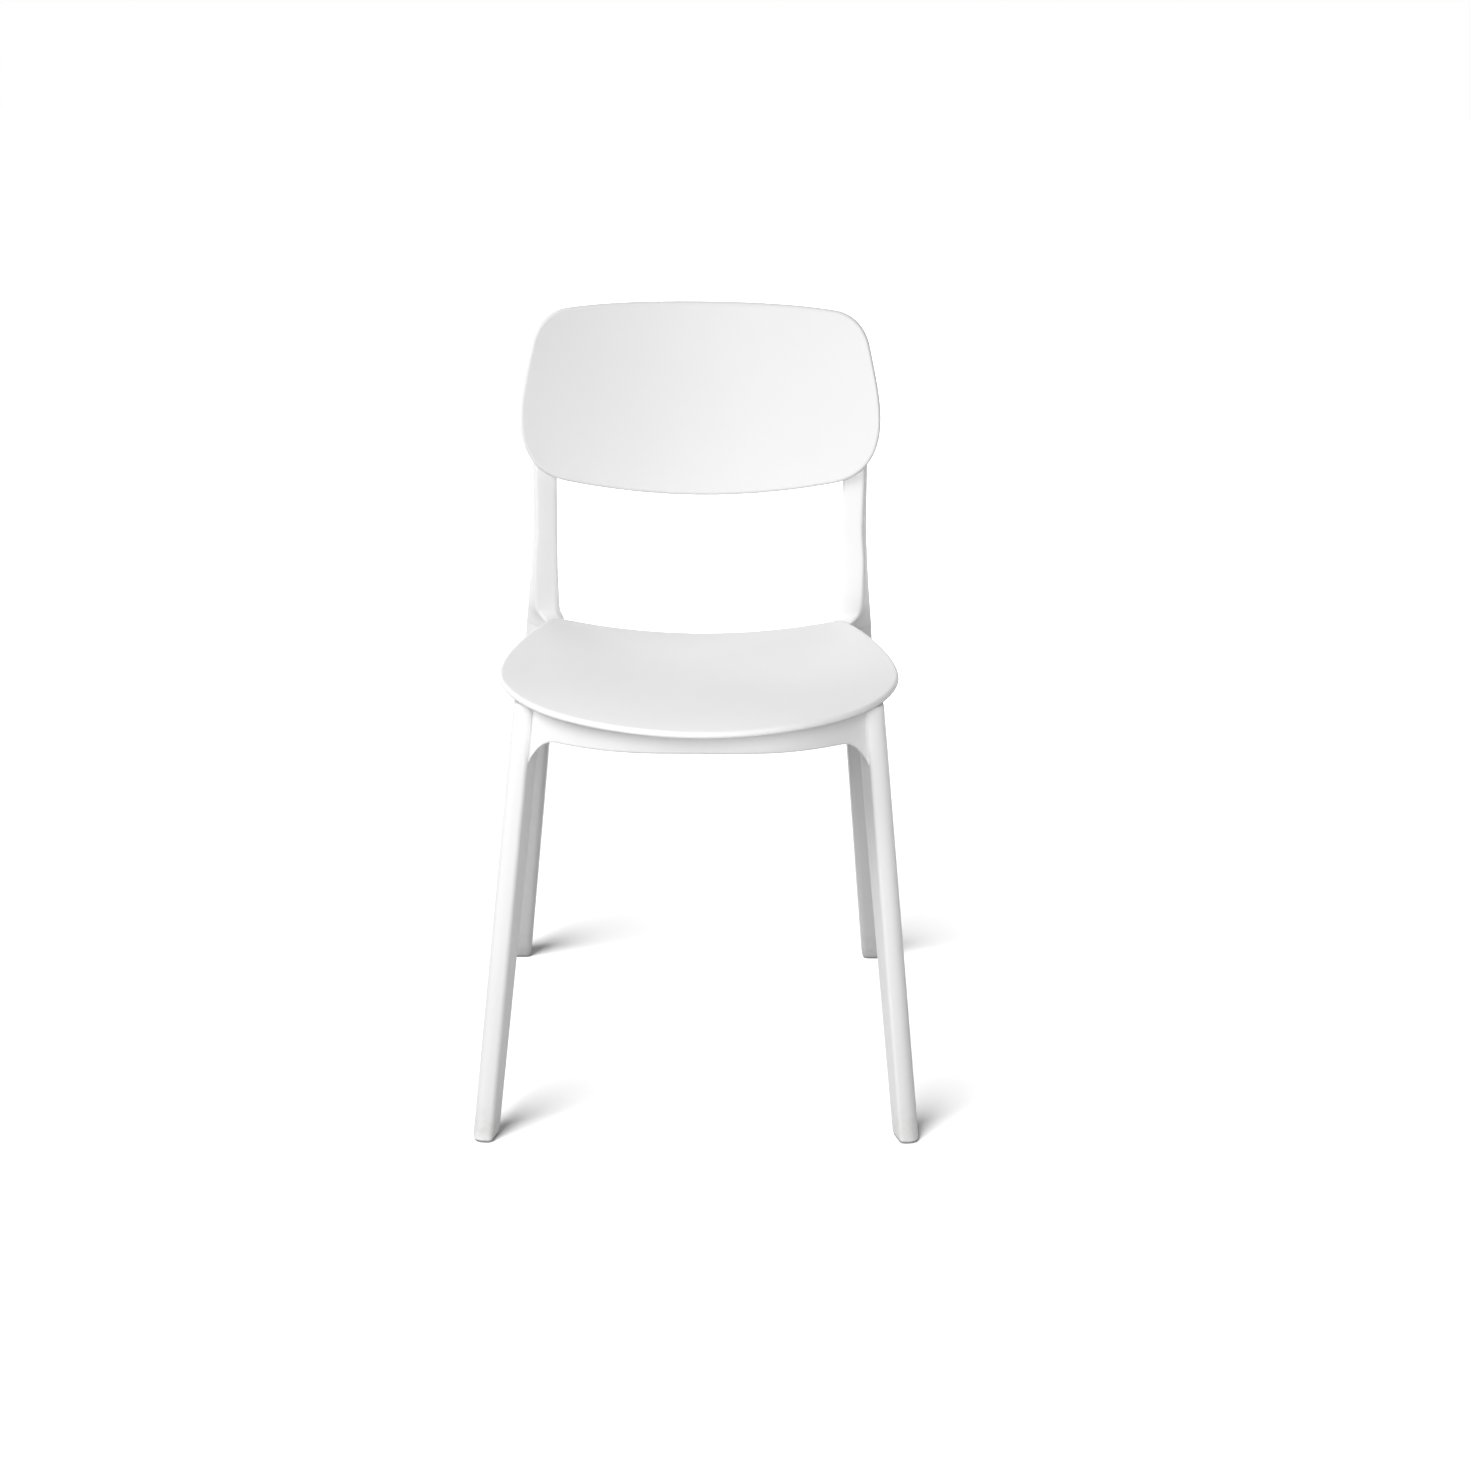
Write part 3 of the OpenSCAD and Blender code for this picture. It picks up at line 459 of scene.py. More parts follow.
# Bosses for the inserts. Their rings, as wider than the boss by and below the skin by, wider than
# the boss by and above the rail by, and wider than the bore by and above the rail by
BOSS_SINK = 0.4
BOSS_FLARE = [(1.6, 0.0), (0.6, 0.8), (0.1, 2.2)]
BOSS_END = [(0.0, 0.5), (-0.4, 0.05)]
BORE_MOUTH = [(0.4, 0.05), (0.0, 0.4), (0.0, INSERT_BORE_H)]
# Level of the seats for the bosses that are cut into the rear rail
REAR_LEDGE = REAR_RAIL_TOP + REAR_RAIL_SWEEP * ((REAR_SCREW_X - BOSS_D / 2) / POST_IN) ** 2 - 0.2


def seat_top(x, y):
    """Height of the seat's top."""
    along = (y - SEAT_MID_Y) / (SEAT_FRONT if y < SEAT_MID_Y else SEAT_REAR)
    return (SEAT_H - curve(SEAT_DROP, along)
            + curve(SEAT_RISE, along) * (x / SEAT_HALF_W) ** 2)


def seat_oval(length, start, end, steps):
    """Points along an oval of the seat's width, from one angle up to but without another."""
    angles = [start + (end - start) * i / steps for i in range(steps)]
    return [(SEAT_HALF_W * math.cos(a), SEAT_MID_Y + length * math.sin(a)) for a in angles]


def seat_outline():
    """The seat's edge, counter-clockwise from the middle of its front."""
    side = seat_oval(SEAT_FRONT, -math.pi / 2, 0.0, FRONT_STEPS)
    side += seat_oval(SEAT_OVAL, 0.0, TAIL_ANGLE, FLANK_STEPS)
    flank_end = (SEAT_HALF_W * math.cos(TAIL_ANGLE), SEAT_BACK_Y - SEAT_CORNER)
    corner, rear_end = (TAIL_X, SEAT_BACK_Y), (TAIL_X - SEAT_CORNER, SEAT_BACK_Y)
    side += [bend(flank_end, corner, rear_end, i / CORNER_STEPS) for i in range(CORNER_STEPS)]
    side += [(rear_end[0] * (1 - i / REAR_STEPS), SEAT_BACK_Y) for i in range(REAR_STEPS)]
    return side + [(0.0, SEAT_BACK_Y)] + [(-p[0], p[1]) for p in reversed(side[1:])]


OUTLINE = seat_outline()


def seat_ring(outline, drop):
    return [(p[0], p[1], seat_top(p[0], p[1]) - drop) for p in outline]


def nose(radius_top, radius_low, thickness, steps=6):
    """Inset and drop of the points that round the edge of a plate, from its top to its underside."""
    turns = [(math.sin(a), math.cos(a)) for a in spread(0.0, math.pi / 2, steps + 1)]
    above = [(radius_top * (1 - s), radius_top * (1 - c)) for s, c in turns]
    return above + [(radius_low * (1 - c), thickness - radius_low * (1 - s)) for s, c in turns]


def seat_screws():
    """Places of the screws that hold the seat, two on each rail."""
    rows = [(APRON_SCREW_X, apron_screw_y()), (REAR_SCREW_X, REAR_RAIL_Y),
            (SIDE_X, -SIDE_SCREW_Y), (SIDE_X, SIDE_SCREW_Y)]
    return [(side * x, y) for side in (-1, 1) for x, y in rows]


def make_seat():
    body = Body()
    field = inset(OUTLINE, SEAT_FIELD_IN)
    wall = scaled(inset(OUTLINE, RIM_WALL_IN), SEAT_HEART, RIM_WALL_LEAN)
    edge = nose(SEAT_EDGE_TOP_R, SEAT_EDGE_LOW_R, SEAT_RIM_T)
    rings = [seat_ring(scaled(field, SEAT_HEART, s), 0.0) for s in SEAT_TOP_SHARES]
    rings += [seat_ring(field, 0.0), seat_ring(inset(OUTLINE, SEAT_ROUND_IN), 0.0)]
    rings += [seat_ring(inset(OUTLINE, d), h) for d, h in edge]
    rings += [seat_ring(inset(OUTLINE, d), SEAT_RIM_T) for d in (RIM_OUTER_IN, RIM_INNER_IN)]
    rings += [seat_ring(scaled(wall, SEAT_HEART, s), depth) for s, depth in RIM_WALL_ROWS]
    rings += [seat_ring(scaled(wall, SEAT_HEART, s), SEAT_SKIN_T) for s in SEAT_LOW_SHARES]
    body.loft(rings, start=seat_ring([SEAT_HEART], 0.0)[0],
              end=seat_ring([SEAT_HEART], SEAT_SKIN_T)[0])
    for x, y in seat_screws():
        boss(body, x, y)
    for line in rib_lines():
        rib(body, line)
    return body.make("seat_shell", "shell", "seat_panel")


def inside(outline, x, y):
    """Whether a point lies within a closed outline."""
    hit = False
    for i, a in enumerate(outline):
        b = outline[i - 1]
        if (a[1] > y) != (b[1] > y):
            if x < a[0] + (y - a[1]) / (b[1] - a[1]) * (b[0] - a[0]):
                hit = not hit
    return hit


def rib_lines():
    """Lines of the stiffening ribs under the seat, each as a list of points."""
    field = inset(OUTLINE, RIB_END_IN)
    # Places 2 mm apart at which a rib's ends are looked for
    across = spread(1.0 - SEAT_HALF_W, SEAT_HALF_W - 1.0, 213)
    along = spread(SEAT_MID_Y - SEAT_FRONT + 4.0, SEAT_BACK_Y - 1.0, 203)
    lines = []
    for k in range(-4, 5):
        x = k * RIB_STEP_X
        ys = [y for y in along if inside(field, x, y)]
        lines.append([(x, y) for y in spread(ys[0], ys[-1], RIB_POINTS)])
    for k in range(-4, 4):
        y = SEAT_HEART[1] + k * RIB_STEP_Y
        xs = [x for x in across if inside(field, x, y)]
        lines.append([(x, y) for x in spread(xs[0], xs[-1], RIB_POINTS)])
    return lines


def rib(body, line):
    """A thin tapered wall that hangs from the seat's skin along a line."""
    rings = []
    for i, (x, y) in enumerate(line):
        a, b = line[max(0, i - 1)], line[min(len(line) - 1, i + 1)]
        length = math.dist(a, b)
        nx, ny = -(b[1] - a[1]) / length, (b[0] - a[0]) / length
        root = seat_top(x, y) - SEAT_SKIN_T + RIB_SINK
        tip = seat_top(x, y) - SEAT_RIM_T + RIB_SHORT
        section = [(-RIB_ROOT, root), (-RIB_SHOULDER, tip + RIB_TIP_H), (-RIB_TIP, tip),
                   (RIB_TIP, tip), (RIB_SHOULDER, tip + RIB_TIP_H), (RIB_ROOT, root)]
        rings.append([(x + nx * w, y + ny * w, z) for w, z in section])
    body.loft(rings, start_flat=True, end_flat=True)


def circle(x, y, r, z, n=28):
    """A level ring of n points."""
    return [(x + r * math.cos(2 * math.pi * i / n), y + r * math.sin(2 * math.pi * i / n), z)
            for i in range(n)]


def boss(body, x, y):
    """A round boss with a bore for a threaded insert, between the seat's skin and a rail."""
    ledge = REAR_LEDGE if abs(y - REAR_RAIL_Y) < 1 else RAIL_TOP
    skin = seat_top(x, y) - SEAT_SKIN_T + BOSS_SINK
    rows = [(BOSS_D / 2 + wider, skin - below) for wider, below in BOSS_FLARE]
    rows += [(BOSS_D / 2 + wider, ledge + above) for wider, above in BOSS_END]
    rows += [(INSERT_BORE_D / 2 + wider, ledge + above) for wider, above in BORE_MOUTH]
    body.loft([circle(x, y, r, z) for r, z in rows], end_flat=True)


# -------------------- backrest

# Right half of the outline, from the middle of its lower edge to the middle of its upper edge:
# curves by their ends and pulls, as shares of half width and height, with the points along each
BACK_CURVES = [
    (((0, 0), (0.25, 0), (0.51, 0.03), (0.75, 0.085)), 16),
    (((0.75, 0.085), (0.94, 0.13), (1, 0.27), (1, 0.415)), 20),
    (((1, 0.415), (1, 0.535), (0.965, 0.66), (0.935, 0.79)), 12),
    (((0.935, 0.79), (0.91, 0.895), (0.84, 0.955), (0.75, 0.97)), 16),
    (((0.75, 0.97), (0.56, 0.993), (0.3, 1), (0, 1)), 14)]
# How far in from the outline the field and the last flat ring of a face lie, and the edge's radius
BACK_FIELD_IN = 7.0
BACK_ROUND_IN = 5.0
BACK_EDGE_R = 4.4
# Rings of the faces, as shares of the way out from the backrest's heart
BACK_HEART = (0.0, BACK_H * 0.48)
BACK_SHARES = [0.03, 0.08, 0.14, 0.21, 0.29, 0.37, 0.45, 0.53, 0.61, 0.69, 0.76, 0.83, 0.89, 0.94,
               0.975]


def back_front(x, z):
    """Distance of the backrest's front face behind the middle of the chair."""
    return BACK_TOP_Y - BACK_LEAN * (OVERALL_H - z) - BACK_SAG * (x / BACK_HALF_W) ** 2


def back_rear(x, z):
    return back_front(x, z) + BACK_T


def back_outline():
    """The backrest's edge as (across, height above its lower edge)."""
    side = []
    for shares, count in BACK_CURVES:
        points = [(BACK_HALF_W * x, BACK_H * z) for x, z in shares]
        side += [pull(*points, i / count) for i in range(count)]
    return side + [(0.0, BACK_H)] + [(-p[0], p[1]) for p in reversed(side[1:])]


def back_ring(outline, depth):
    points = [(x, BACK_BOTTOM + rise) for x, rise in outline]
    return [(x, back_front(x, z) + depth, z) for x, z in points]


def make_backrest():
    body = Body()
    outline = back_outline()
    field = inset(outline, BACK_FIELD_IN)
    edge = nose(BACK_EDGE_R, BACK_EDGE_R, BACK_T, steps=7)
    rings = [back_ring(scaled(field, BACK_HEART, s), 0.0) for s in BACK_SHARES]
    rings += [back_ring(field, 0.0), back_ring(inset(outline, BACK_ROUND_IN), 0.0)]
    rings += [back_ring(inset(outline, d), h) for d, h in edge]
    rings += [back_ring(field, BACK_T)]
    rings += [back_ring(scaled(field, BACK_HEART, s), BACK_T) for s in reversed(BACK_SHARES)]
    body.loft(rings, start=back_ring([BACK_HEART], 0.0)[0],
              end=back_ring([BACK_HEART], BACK_T)[0])
    return body.make("backrest_shell", "shell", "backrest_panel")


# -------------------- front legs

# The leg keeps its full depth above this height and narrows from behind below it
LEG_FULL_Z = RAIL_TOP * 0.75


def leg_at(z):
    """Centre of the right front leg at a height."""
    t = z / RAIL_TOP
    return FOOT_X + (LEG_TOP_X - FOOT_X) * t, -FOOT_Y - (LEG_TOP_Y - FOOT_Y) * t


def leg_depth(z):
    return LEG_D - (LEG_D - LEG_FOOT_D) * max(0.0, 1 - z / LEG_FULL_Z)


def leg_ring(z):
    """Section of the right front leg: inner front, outer front, outer rear, inner rear."""
    cx, cy = leg_at(z)
    w, y0 = LEG_W / 2, cy - LEG_D / 2
    y1 = y0 + leg_depth(z)
    thin = LEG_SLANT * (1 - leg_depth(z) / LEG_D)
    corners = [(cx - w + LEG_SLANT, y0), (cx + w, y0), (cx + w, y1), (cx - w + thin, y1)]
    front = LEG_W - LEG_SLANT
    cuts = [min(LEG_INNER_R, front / 3), min(LEG_OUTER_R, front * 2 / 3), LEG_REAR_R, LEG_REAR_R]
    return [(p[0], p[1], z) for p in rounded(corners, cuts, steps=10, limit=0.67)]


def make_front_legs():
    body = Body()
    low, high = leg_ring(GLIDE_H), leg_ring(RAIL_TOP + LEG_RISE)
    rings = list(reversed(end_rings(low, FOOT_EASE, -1)))
    top_z = RAIL_TOP + LEG_RISE - LEG_TOP_EASE
    rings += [leg_ring(z) for z in spread(GLIDE_H + FOOT_EASE, top_z, 46)]
    rings += end_rings(high, LEG_TOP_EASE, 1)
    body.loft(rings, start_flat=True, end_flat=True)
    body.mirrored().make("front_leg_left_skin", "frame", "front_leg_left")
    body.make("front_leg_right_skin", "frame", "front_leg_right")


# -------------------- rear legs

# Where the post starts behind the backrest: its front face and its outermost edge
POST_LOW_Y = back_rear(POST_IN, BACK_BOTTOM) + FIT_GAP
POST_LOW_X = POST_IN + POST_W + 5.0
# Front face of the post beside the seat's rear edge, and its slant for each millimetre of width
POST_ROOT_Y = SEAT_BACK_Y + 2.2
POST_ROOT_SLANT = 0.28
# Outer front edge of the knee, just outside the side rail
KNEE_X = SIDE_X + RAIL_T / 2 + 1.0
REAR_FOOT_IN = REAR_FOOT_X - REAR_FOOT_W / 2
REAR_FOOT_OUT = REAR_FOOT_X + REAR_FOOT_W / 2
REAR_FOOT_FRONT = FOOT_Y - REAR_FOOT_D / 2
REAR_FOOT_BACK = FOOT_Y + REAR_FOOT_D / 2
# Waist of the outer side, as a share of the way from its front edge to the outermost one, and the
# outermost edge of a post, as a share of its depth
LEG_WAIST = 0.75
POST_WAIST = 0.55
POST_WIDEST = 0.64

# Down the straight leg: share of the height, front face behind the knee's, outer front edge inside
# the outermost line, and the outermost edge in front of the foot's middle
SHIN_ROWS = [(0.2, 44, 6, 1), (0.45, 43, 7, 13), (0.68, 40, 9, 22)]
# Round the knee: height below the rail, front face behind the knee's, outer front edge outside the
# knee's, outermost edge in front of the rear face, and dent of the outer side
KNEE_ROWS = [(54, 42, 13, 5, 0), (31, 30, 8.5, 8, 0), (15, 13, 5, 10, 1.5), (7, 3, 1, 11, 3),
             (1, 0, 0, 11, 4.5)]
# Beside the side rail: height and dent of the outer side, and its outermost edge in front of the
# knee's rear
RAIL_ROWS = [(RAIL_TOP - RAIL_H * 0.4, 8.5), (RAIL_TOP, 14)]
RAIL_LEAD = 11
# Up from the seat's rear corner: height above the rails, front face behind the post's root, width
# of the front face, outermost edge in front of the knee's rear, inward flare, and how far the outer
# edge stands forward as a shoulder beside the seat
ROOT_ROWS = [(0.6, -2, 9.5, 11.4, 0, 9), (4, -1.7, 10.3, 11.8, 2.6, 9),
             (7, -1.4, 11.4, 12, 5.2, 9), (9.5, -1.2, 12.8, 12.2, 7, 8.8),
             (12, -1, 14.8, 12.5, 7, 8), (13.4, -0.9, 16.2, 12.6, 4.8, 7.2),
             (15, -0.7, 18, 12.8, 2.8, 6), (17, -0.5, 20.3, 13, 1.5, 4.2),
             (20, -0.2, 23.2, 13.2, 0.5, 1.9), (24, 0.1, 25.4, 13.6, 0.1, 0.5),
             (30, 0.7, 26.8, 14.3, 0, 0), (43, 1.8, 27.2, 15.8, 0, 0),
             (60, 3.2, 27.3, 17.6, 0, 0), (84, 5.4, 27, 19, 0, 0), (120, 9, 24.4, 19, 0, 0)]
# Up the post behind the backrest: height, outermost edge outside the front edge, and narrowing
POST_ROWS = [(BACK_BOTTOM + 12, 4.8, 0), (BACK_BOTTOM + 60, 4.4, 0), (POST_TOP - 30, 4, 2),
             (POST_TOP - 8, 4, 3)]
# Rounding of the six corners on the leg and on the post, and the height over which it changes
LEG_CUTS = [7, 9, 6, 9, 9, 7]
POST_CUTS = [5, 5, 6, 7, 8, 6]
CUTS_CHANGE = 24
# Rounded tip of a post: its height, how far it shrinks in, and the angles of its rings
TIP_H = 8.0
TIP_SHRINK = 0.65
TIP_ANGLES = (20, 40, 60, 75, 86)


def down(top, foot, z):
    """Value at a height on the straight line from the rails' top to the floor."""
    return foot + (top - foot) * z / RAIL_TOP


def waist(tip, side, share, dent=0.0):
    """Corner that draws the outer side in between its front edge and its outermost one."""
    x, y = mixed(tip, side, share)
    return x - dent, y


def leg_station(z, front, tip_x, lead, dent=0.0):
    """Height and corners: inner front, outer front, waist, outermost, outer rear, inner rear."""
    inner, outer = down(POST_IN, REAR_FOOT_IN, z), down(KNEE_OUT, REAR_FOOT_OUT, z)
    rear = down(KNEE_REAR_Y, REAR_FOOT_BACK, z)
    tip, side = (tip_x, front), (outer, lead)
    return z, [(inner, front), tip, waist(tip, side, LEG_WAIST, dent), side,
               (outer - POST_TAPER, rear), (inner, rear)]


def rise_station(rise, behind, wide, lead, flare, shoulder):
    """A station between the knee and the post, whose sides turn into the post's as it rises."""
    t = rise / (BACK_BOTTOM - RAIL_TOP)
    front = POST_ROOT_Y + behind
    outer = KNEE_OUT + (POST_LOW_X - KNEE_OUT) * math.sin(math.pi / 2 * min(1, t))
    turned_back = math.sin(math.pi / 2 * min(1, t * 1.6))
    rear = KNEE_REAR_Y + (POST_LOW_Y + POST_D - KNEE_REAR_Y) * turned_back
    slant = POST_ROOT_SLANT * wide * min(1, t * 3)
    tip, side = (POST_IN + wide, front - slant - shoulder), (outer, lead)
    return RAIL_TOP + rise, [(POST_IN - flare, front), tip, waist(tip, side, POST_WAIST), side,
                             (outer - POST_TAPER, rear),
                             (POST_IN + POST_DRAFT * min(1, t * 2), rear)]


def post_station(z, out, narrow):
    """A station of the post, whose front face lies against the backrest."""
    x1, x2 = POST_IN + narrow * 0.5, POST_IN + POST_W - narrow
    y1, y2 = back_rear(x1, z) + FIT_GAP, back_rear(x2, z) + FIT_GAP
    tip, side = (x2, y2), (x2 + out, y2 + POST_D * POST_WIDEST)
    return z, [(x1, y1), tip, waist(tip, side, POST_WAIST), side,
               (side[0] - POST_TAPER, y1 + POST_D), (x1 + POST_DRAFT, y1 + POST_D)]


def rear_stations():
    """Stations of the right rear leg, below the rails' top and above it."""
    lower = [leg_station(GLIDE_H, REAR_FOOT_FRONT, REAR_FOOT_OUT - 1.5, FOOT_Y + 2)]
    for share, front, in_by, lead in SHIN_ROWS:
        z = RAIL_TOP * share
        lower.append(leg_station(z, down(KNEE_FRONT_Y + front, REAR_FOOT_FRONT, z),
                                 down(KNEE_OUT - in_by, REAR_FOOT_OUT - 1.8, z), FOOT_Y - lead))
    for below, front, tip, lead, dent in KNEE_ROWS:
        lower.append(leg_station(KNEE_LOW - below, KNEE_FRONT_Y + front, KNEE_X + tip,
                                 KNEE_REAR_Y - lead, dent))
    for z, dent in RAIL_ROWS:
        lower.append(leg_station(z, KNEE_FRONT_Y, KNEE_X, KNEE_REAR_Y - RAIL_LEAD, dent))
    upper = [rise_station(rise, behind, wide, KNEE_REAR_Y - lead, flare, shoulder)
             for rise, behind, wide, lead, flare, shoulder in ROOT_ROWS]
    upper += [post_station(z, out, narrow) for z, out, narrow in POST_ROWS]
    return lower, upper


def station_ring(stations, z):
    """The section at any height, smoothly between the stations."""
    keys = [s[0] for s in stations]
    corners = []
    for c in range(6):
        corners.append(tuple(monotone(keys, [s[1][c][k] for s in stations], z) for k in (0, 1)))
    t = min(1.0, max(0.0, (z - RAIL_TOP) / CUTS_CHANGE + 0.5))
    return [(p[0], p[1], z) for p in rounded(corners, mixed(LEG_CUTS, POST_CUTS, t), steps=7)]


def cap_bore(side, z):
    """Bore for a screw's cap in the rear of a post, square to the backrest."""
    turn = math.atan(2 * BACK_SAG * BACK_SCREW_X / BACK_HALF_W ** 2)
    tilt = math.atan(BACK_LEAN)
    direction = Vector((side * math.sin(turn) * math.cos(tilt), math.cos(turn) * math.cos(tilt),
                        -math.sin(tilt)))
    base = Vector((side * BACK_SCREW_X, back_rear(BACK_SCREW_X, z), z))
    start = base + direction * (POST_WEB + HEAD_H)
    return rod(start, direction, CAP_BORE_D / 2, 3 * POST_D)


def make_rear_legs():
    lower, upper = rear_stations()
    body = Body()
    foot = station_ring(lower, GLIDE_H)
    rings = list(reversed(end_rings(foot, FOOT_EASE, -1)))
    # The rings lie closest together round the knee and where the post leaves the seat
    heights = spread(GLIDE_H + FOOT_EASE, KNEE_LOW - 60, 36)
    heights += spread(KNEE_LOW - 57, KNEE_LOW + 3, 26)
    heights += spread(KNEE_LOW + 7, RAIL_TOP - 1, 6) + [RAIL_TOP]
    rings += [station_ring(lower, z) for z in heights]
    heights = spread(RAIL_TOP + 0.6, RAIL_TOP + 60, 64) + spread(RAIL_TOP + 65, POST_TOP - 8, 44)
    rings += [station_ring(upper, z) for z in heights]
    tip = rings[-1]
    c = middle(tip)
    for angle in TIP_ANGLES:
        a = math.radians(angle)
        keep, rise = 1 - TIP_SHRINK * (1 - math.cos(a)), TIP_H * math.sin(a)
        rings.append([(c[0] + (p[0] - c[0]) * keep, c[1] + (p[1] - c[1]) * keep + BACK_LEAN * rise,
                       p[2] + rise) for p in tip])
    body.loft(rings, start_flat=True, end_flat=True)
    left = body.mirrored().make("rear_leg_left_skin", "frame", "rear_leg_left")
    right = body.make("rear_leg_right_skin", "frame", "rear_leg_right")
    bore(left, [cap_bore(-1, z) for z in BACK_SCREW_Z])
    bore(right, [cap_bore(1, z) for z in BACK_SCREW_Z])


# -------------------- apron

# Front face at the middle and where it meets the legs, and the power by which it curves back
APRON_NOSE_Y = SEAT_MID_Y - SEAT_FRONT + APRON_INSET
APRON_TIP_Y = -LEG_TOP_Y - LEG_D / 2 + LEG_INNER_R * 0.75
APRON_BEND = 2.8
# Rounding of the section: lower front, lower rear, upper rear, upper front
APRON_CUTS = [3.0, 2.5, 1.5, 1.5]
# How much thicker it gets where it turns back, and the power by which its ends take up the legs'
# slant, which is high so that they do it close to the legs
APRON_SWELL = 0.12
APRON_END_FADE = 6
# Step for reading off its turn, as a share of the half length
APRON_STEP = 0.0001


def apron_end(z):
    """Half the apron's length at a height, so that its ends lie on the legs."""
    return leg_at(z)[0] - LEG_W / 2 - JOINT_GAP


def apron_y(u):
    """Front face at a share u of the half length."""
    return APRON_NOSE_Y + (APRON_TIP_Y - APRON_NOSE_Y) * abs(u) ** APRON_BEND


def apron_z(u):
    """Lower edge: a shallow arch that turns down at the legs."""
    a = abs(u)
    t = GUSSET_TURN * max(0.0, 1 - (1 - a) * apron_end(RAIL_TOP) / GUSSET_W)
    return APRON_LOW - APRON_ARCH * a * a - GUSSET * (1 - math.sqrt(1 - t * t))


def apron_ring(u):
    """Section at a share u of the half length; its ends lie on the slanted sides of the legs."""
    a = min(1 - APRON_STEP, abs(u))
    lo, hi = apron_z(a), RAIL_TOP
    turn = (apron_y(a + APRON_STEP) - apron_y(a)) / (APRON_STEP * apron_end(RAIL_TOP))
    back = APRON_T * (1 + APRON_SWELL * min(1.0, turn * turn))
    section = rounded([(0, lo), (back, lo), (back, hi), (0, hi)], APRON_CUTS, steps=6)
    wall = -LEG_TOP_Y + LEG_D / 2 - APRON_TIP_Y
    fade = a ** APRON_END_FADE
    out = []
    for depth, z in section:
        slide = (z - RAIL_TOP) * (FOOT_Y - LEG_TOP_Y) / RAIL_TOP * fade
        lean = fade * LEG_SLANT * (wall - depth) / LEG_D
        out.append((u * (apron_end(z) + lean), apron_y(a) + depth + slide, z))
    return out


def apron_screw_y():
    """Middle of the apron's thickness at its screws."""
    return apron_y(APRON_SCREW_X / apron_end(RAIL_TOP)) + APRON_T / 2


def make_apron():
    body = Body()
    # The rings lie closer together over the round corners
    half = spread(0.0, 0.86, 34) + spread(0.866, 1.0, 26)
    shares = [-u for u in reversed(half[1:])] + half
    body.loft([apron_ring(u) for u in shares], start_flat=True, end_flat=True)
    apron = body.make("front_apron_skin", "frame", "front_apron")
    low = APRON_LOW / 2
    bore(apron, [rod((side * APRON_SCREW_X, apron_screw_y(), low), (0, 0, 1), HEAD_BORE_D / 2,
                     RAIL_TOP - APRON_WEB - low) for side in (-1, 1)])


# -------------------- build the pieces

make_seat()
make_backrest()
make_front_legs()
make_rear_legs()
make_apron()


# -------------------- shader node helpers


NOISE_ROUGH = 0.55


def grey(level):
    return (level, level, level, 1.0)


class Graph:
    """Short calls for adding nodes to a tree."""

    def __init__(self, tree):
        self.tree = tree

    def add(self, kind, **values):
        """A node with the named settings; names that aren't settings are inputs."""
        node = self.tree.nodes.new(kind)
        for key, value in values.items():
            if hasattr(node, key):
                setattr(node, key, value)
            else:
                node.inputs[key.replace("_", " ")].default_value = value
        return node

    def join(self, out, into):
        self.tree.links.new(out, into)

    def maths(self, operation, a, b=0.0, c=0.0, clamp=False):
        node = self.add("ShaderNodeMath", operation=operation, use_clamp=clamp)
        for socket, value in zip(node.inputs, (a, b, c)):
            if isinstance(value, (int, float)):
                socket.default_value = value
            else:
                self.join(value, socket)
        return node.outputs[0]

    def remap(self, value, start, end, low=0.0, high=1.0):
        """Runs smoothly from low to high while the value runs from start to end."""
        node = self.add("ShaderNodeMapRange", interpolation_type="SMOOTHSTEP", From_Min=start,
                        From_Max=end, To_Min=low, To_Max=high)
        self.join(value, node.inputs["Value"])
        return node.outputs["Result"]

    def noise(self, vector, scale, detail):
        node = self.add("ShaderNodeTexNoise", Scale=scale, Detail=detail, Roughness=NOISE_ROUGH)
        self.join(vector, node.inputs["Vector"])
        return node.outputs["Fac"]

    def blend(self, factor, a, b):
        """Colour a where the factor is 0 and b where it is 1."""
        node = self.add("ShaderNodeMix", data_type="RGBA")
        factor_in, a_in, b_in = node.inputs[0], node.inputs[6], node.inputs[7]
        for socket, value in ((factor_in, factor), (a_in, a), (b_in, b)):
            if isinstance(value, tuple):
                socket.default_value = value
            else:
                self.join(value, socket)
        return node.outputs[2]


VALUE = "NodeSocketFloat"
VECTOR = "NodeSocketVector"


def group(name, inputs, outputs):
    """A node group with named numbers going in, and masks, values or normals coming out."""
    tree = bpy.data.node_groups.new(name, "ShaderNodeTree")
    for label, value in inputs.items():
        socket = tree.interface.new_socket(label, in_out="INPUT", socket_type=VALUE)
        socket.default_value = value
    for label, kind in outputs.items():
        tree.interface.new_socket(label, in_out="OUTPUT", socket_type=kind)
    g = Graph(tree)
    source = g.add("NodeGroupInput")
    sink = g.add("NodeGroupOutput")
    coords = g.add("ShaderNodeTexCoord").outputs["Object"]
    return g, source.outputs, sink.inputs, coords


# -------------------- effects that materials share

# Height of the grain in metres, and how far the roughness drifts
GRAIN_HEIGHT = 0.00012
ROUGHNESS_DRIFT = 0.12


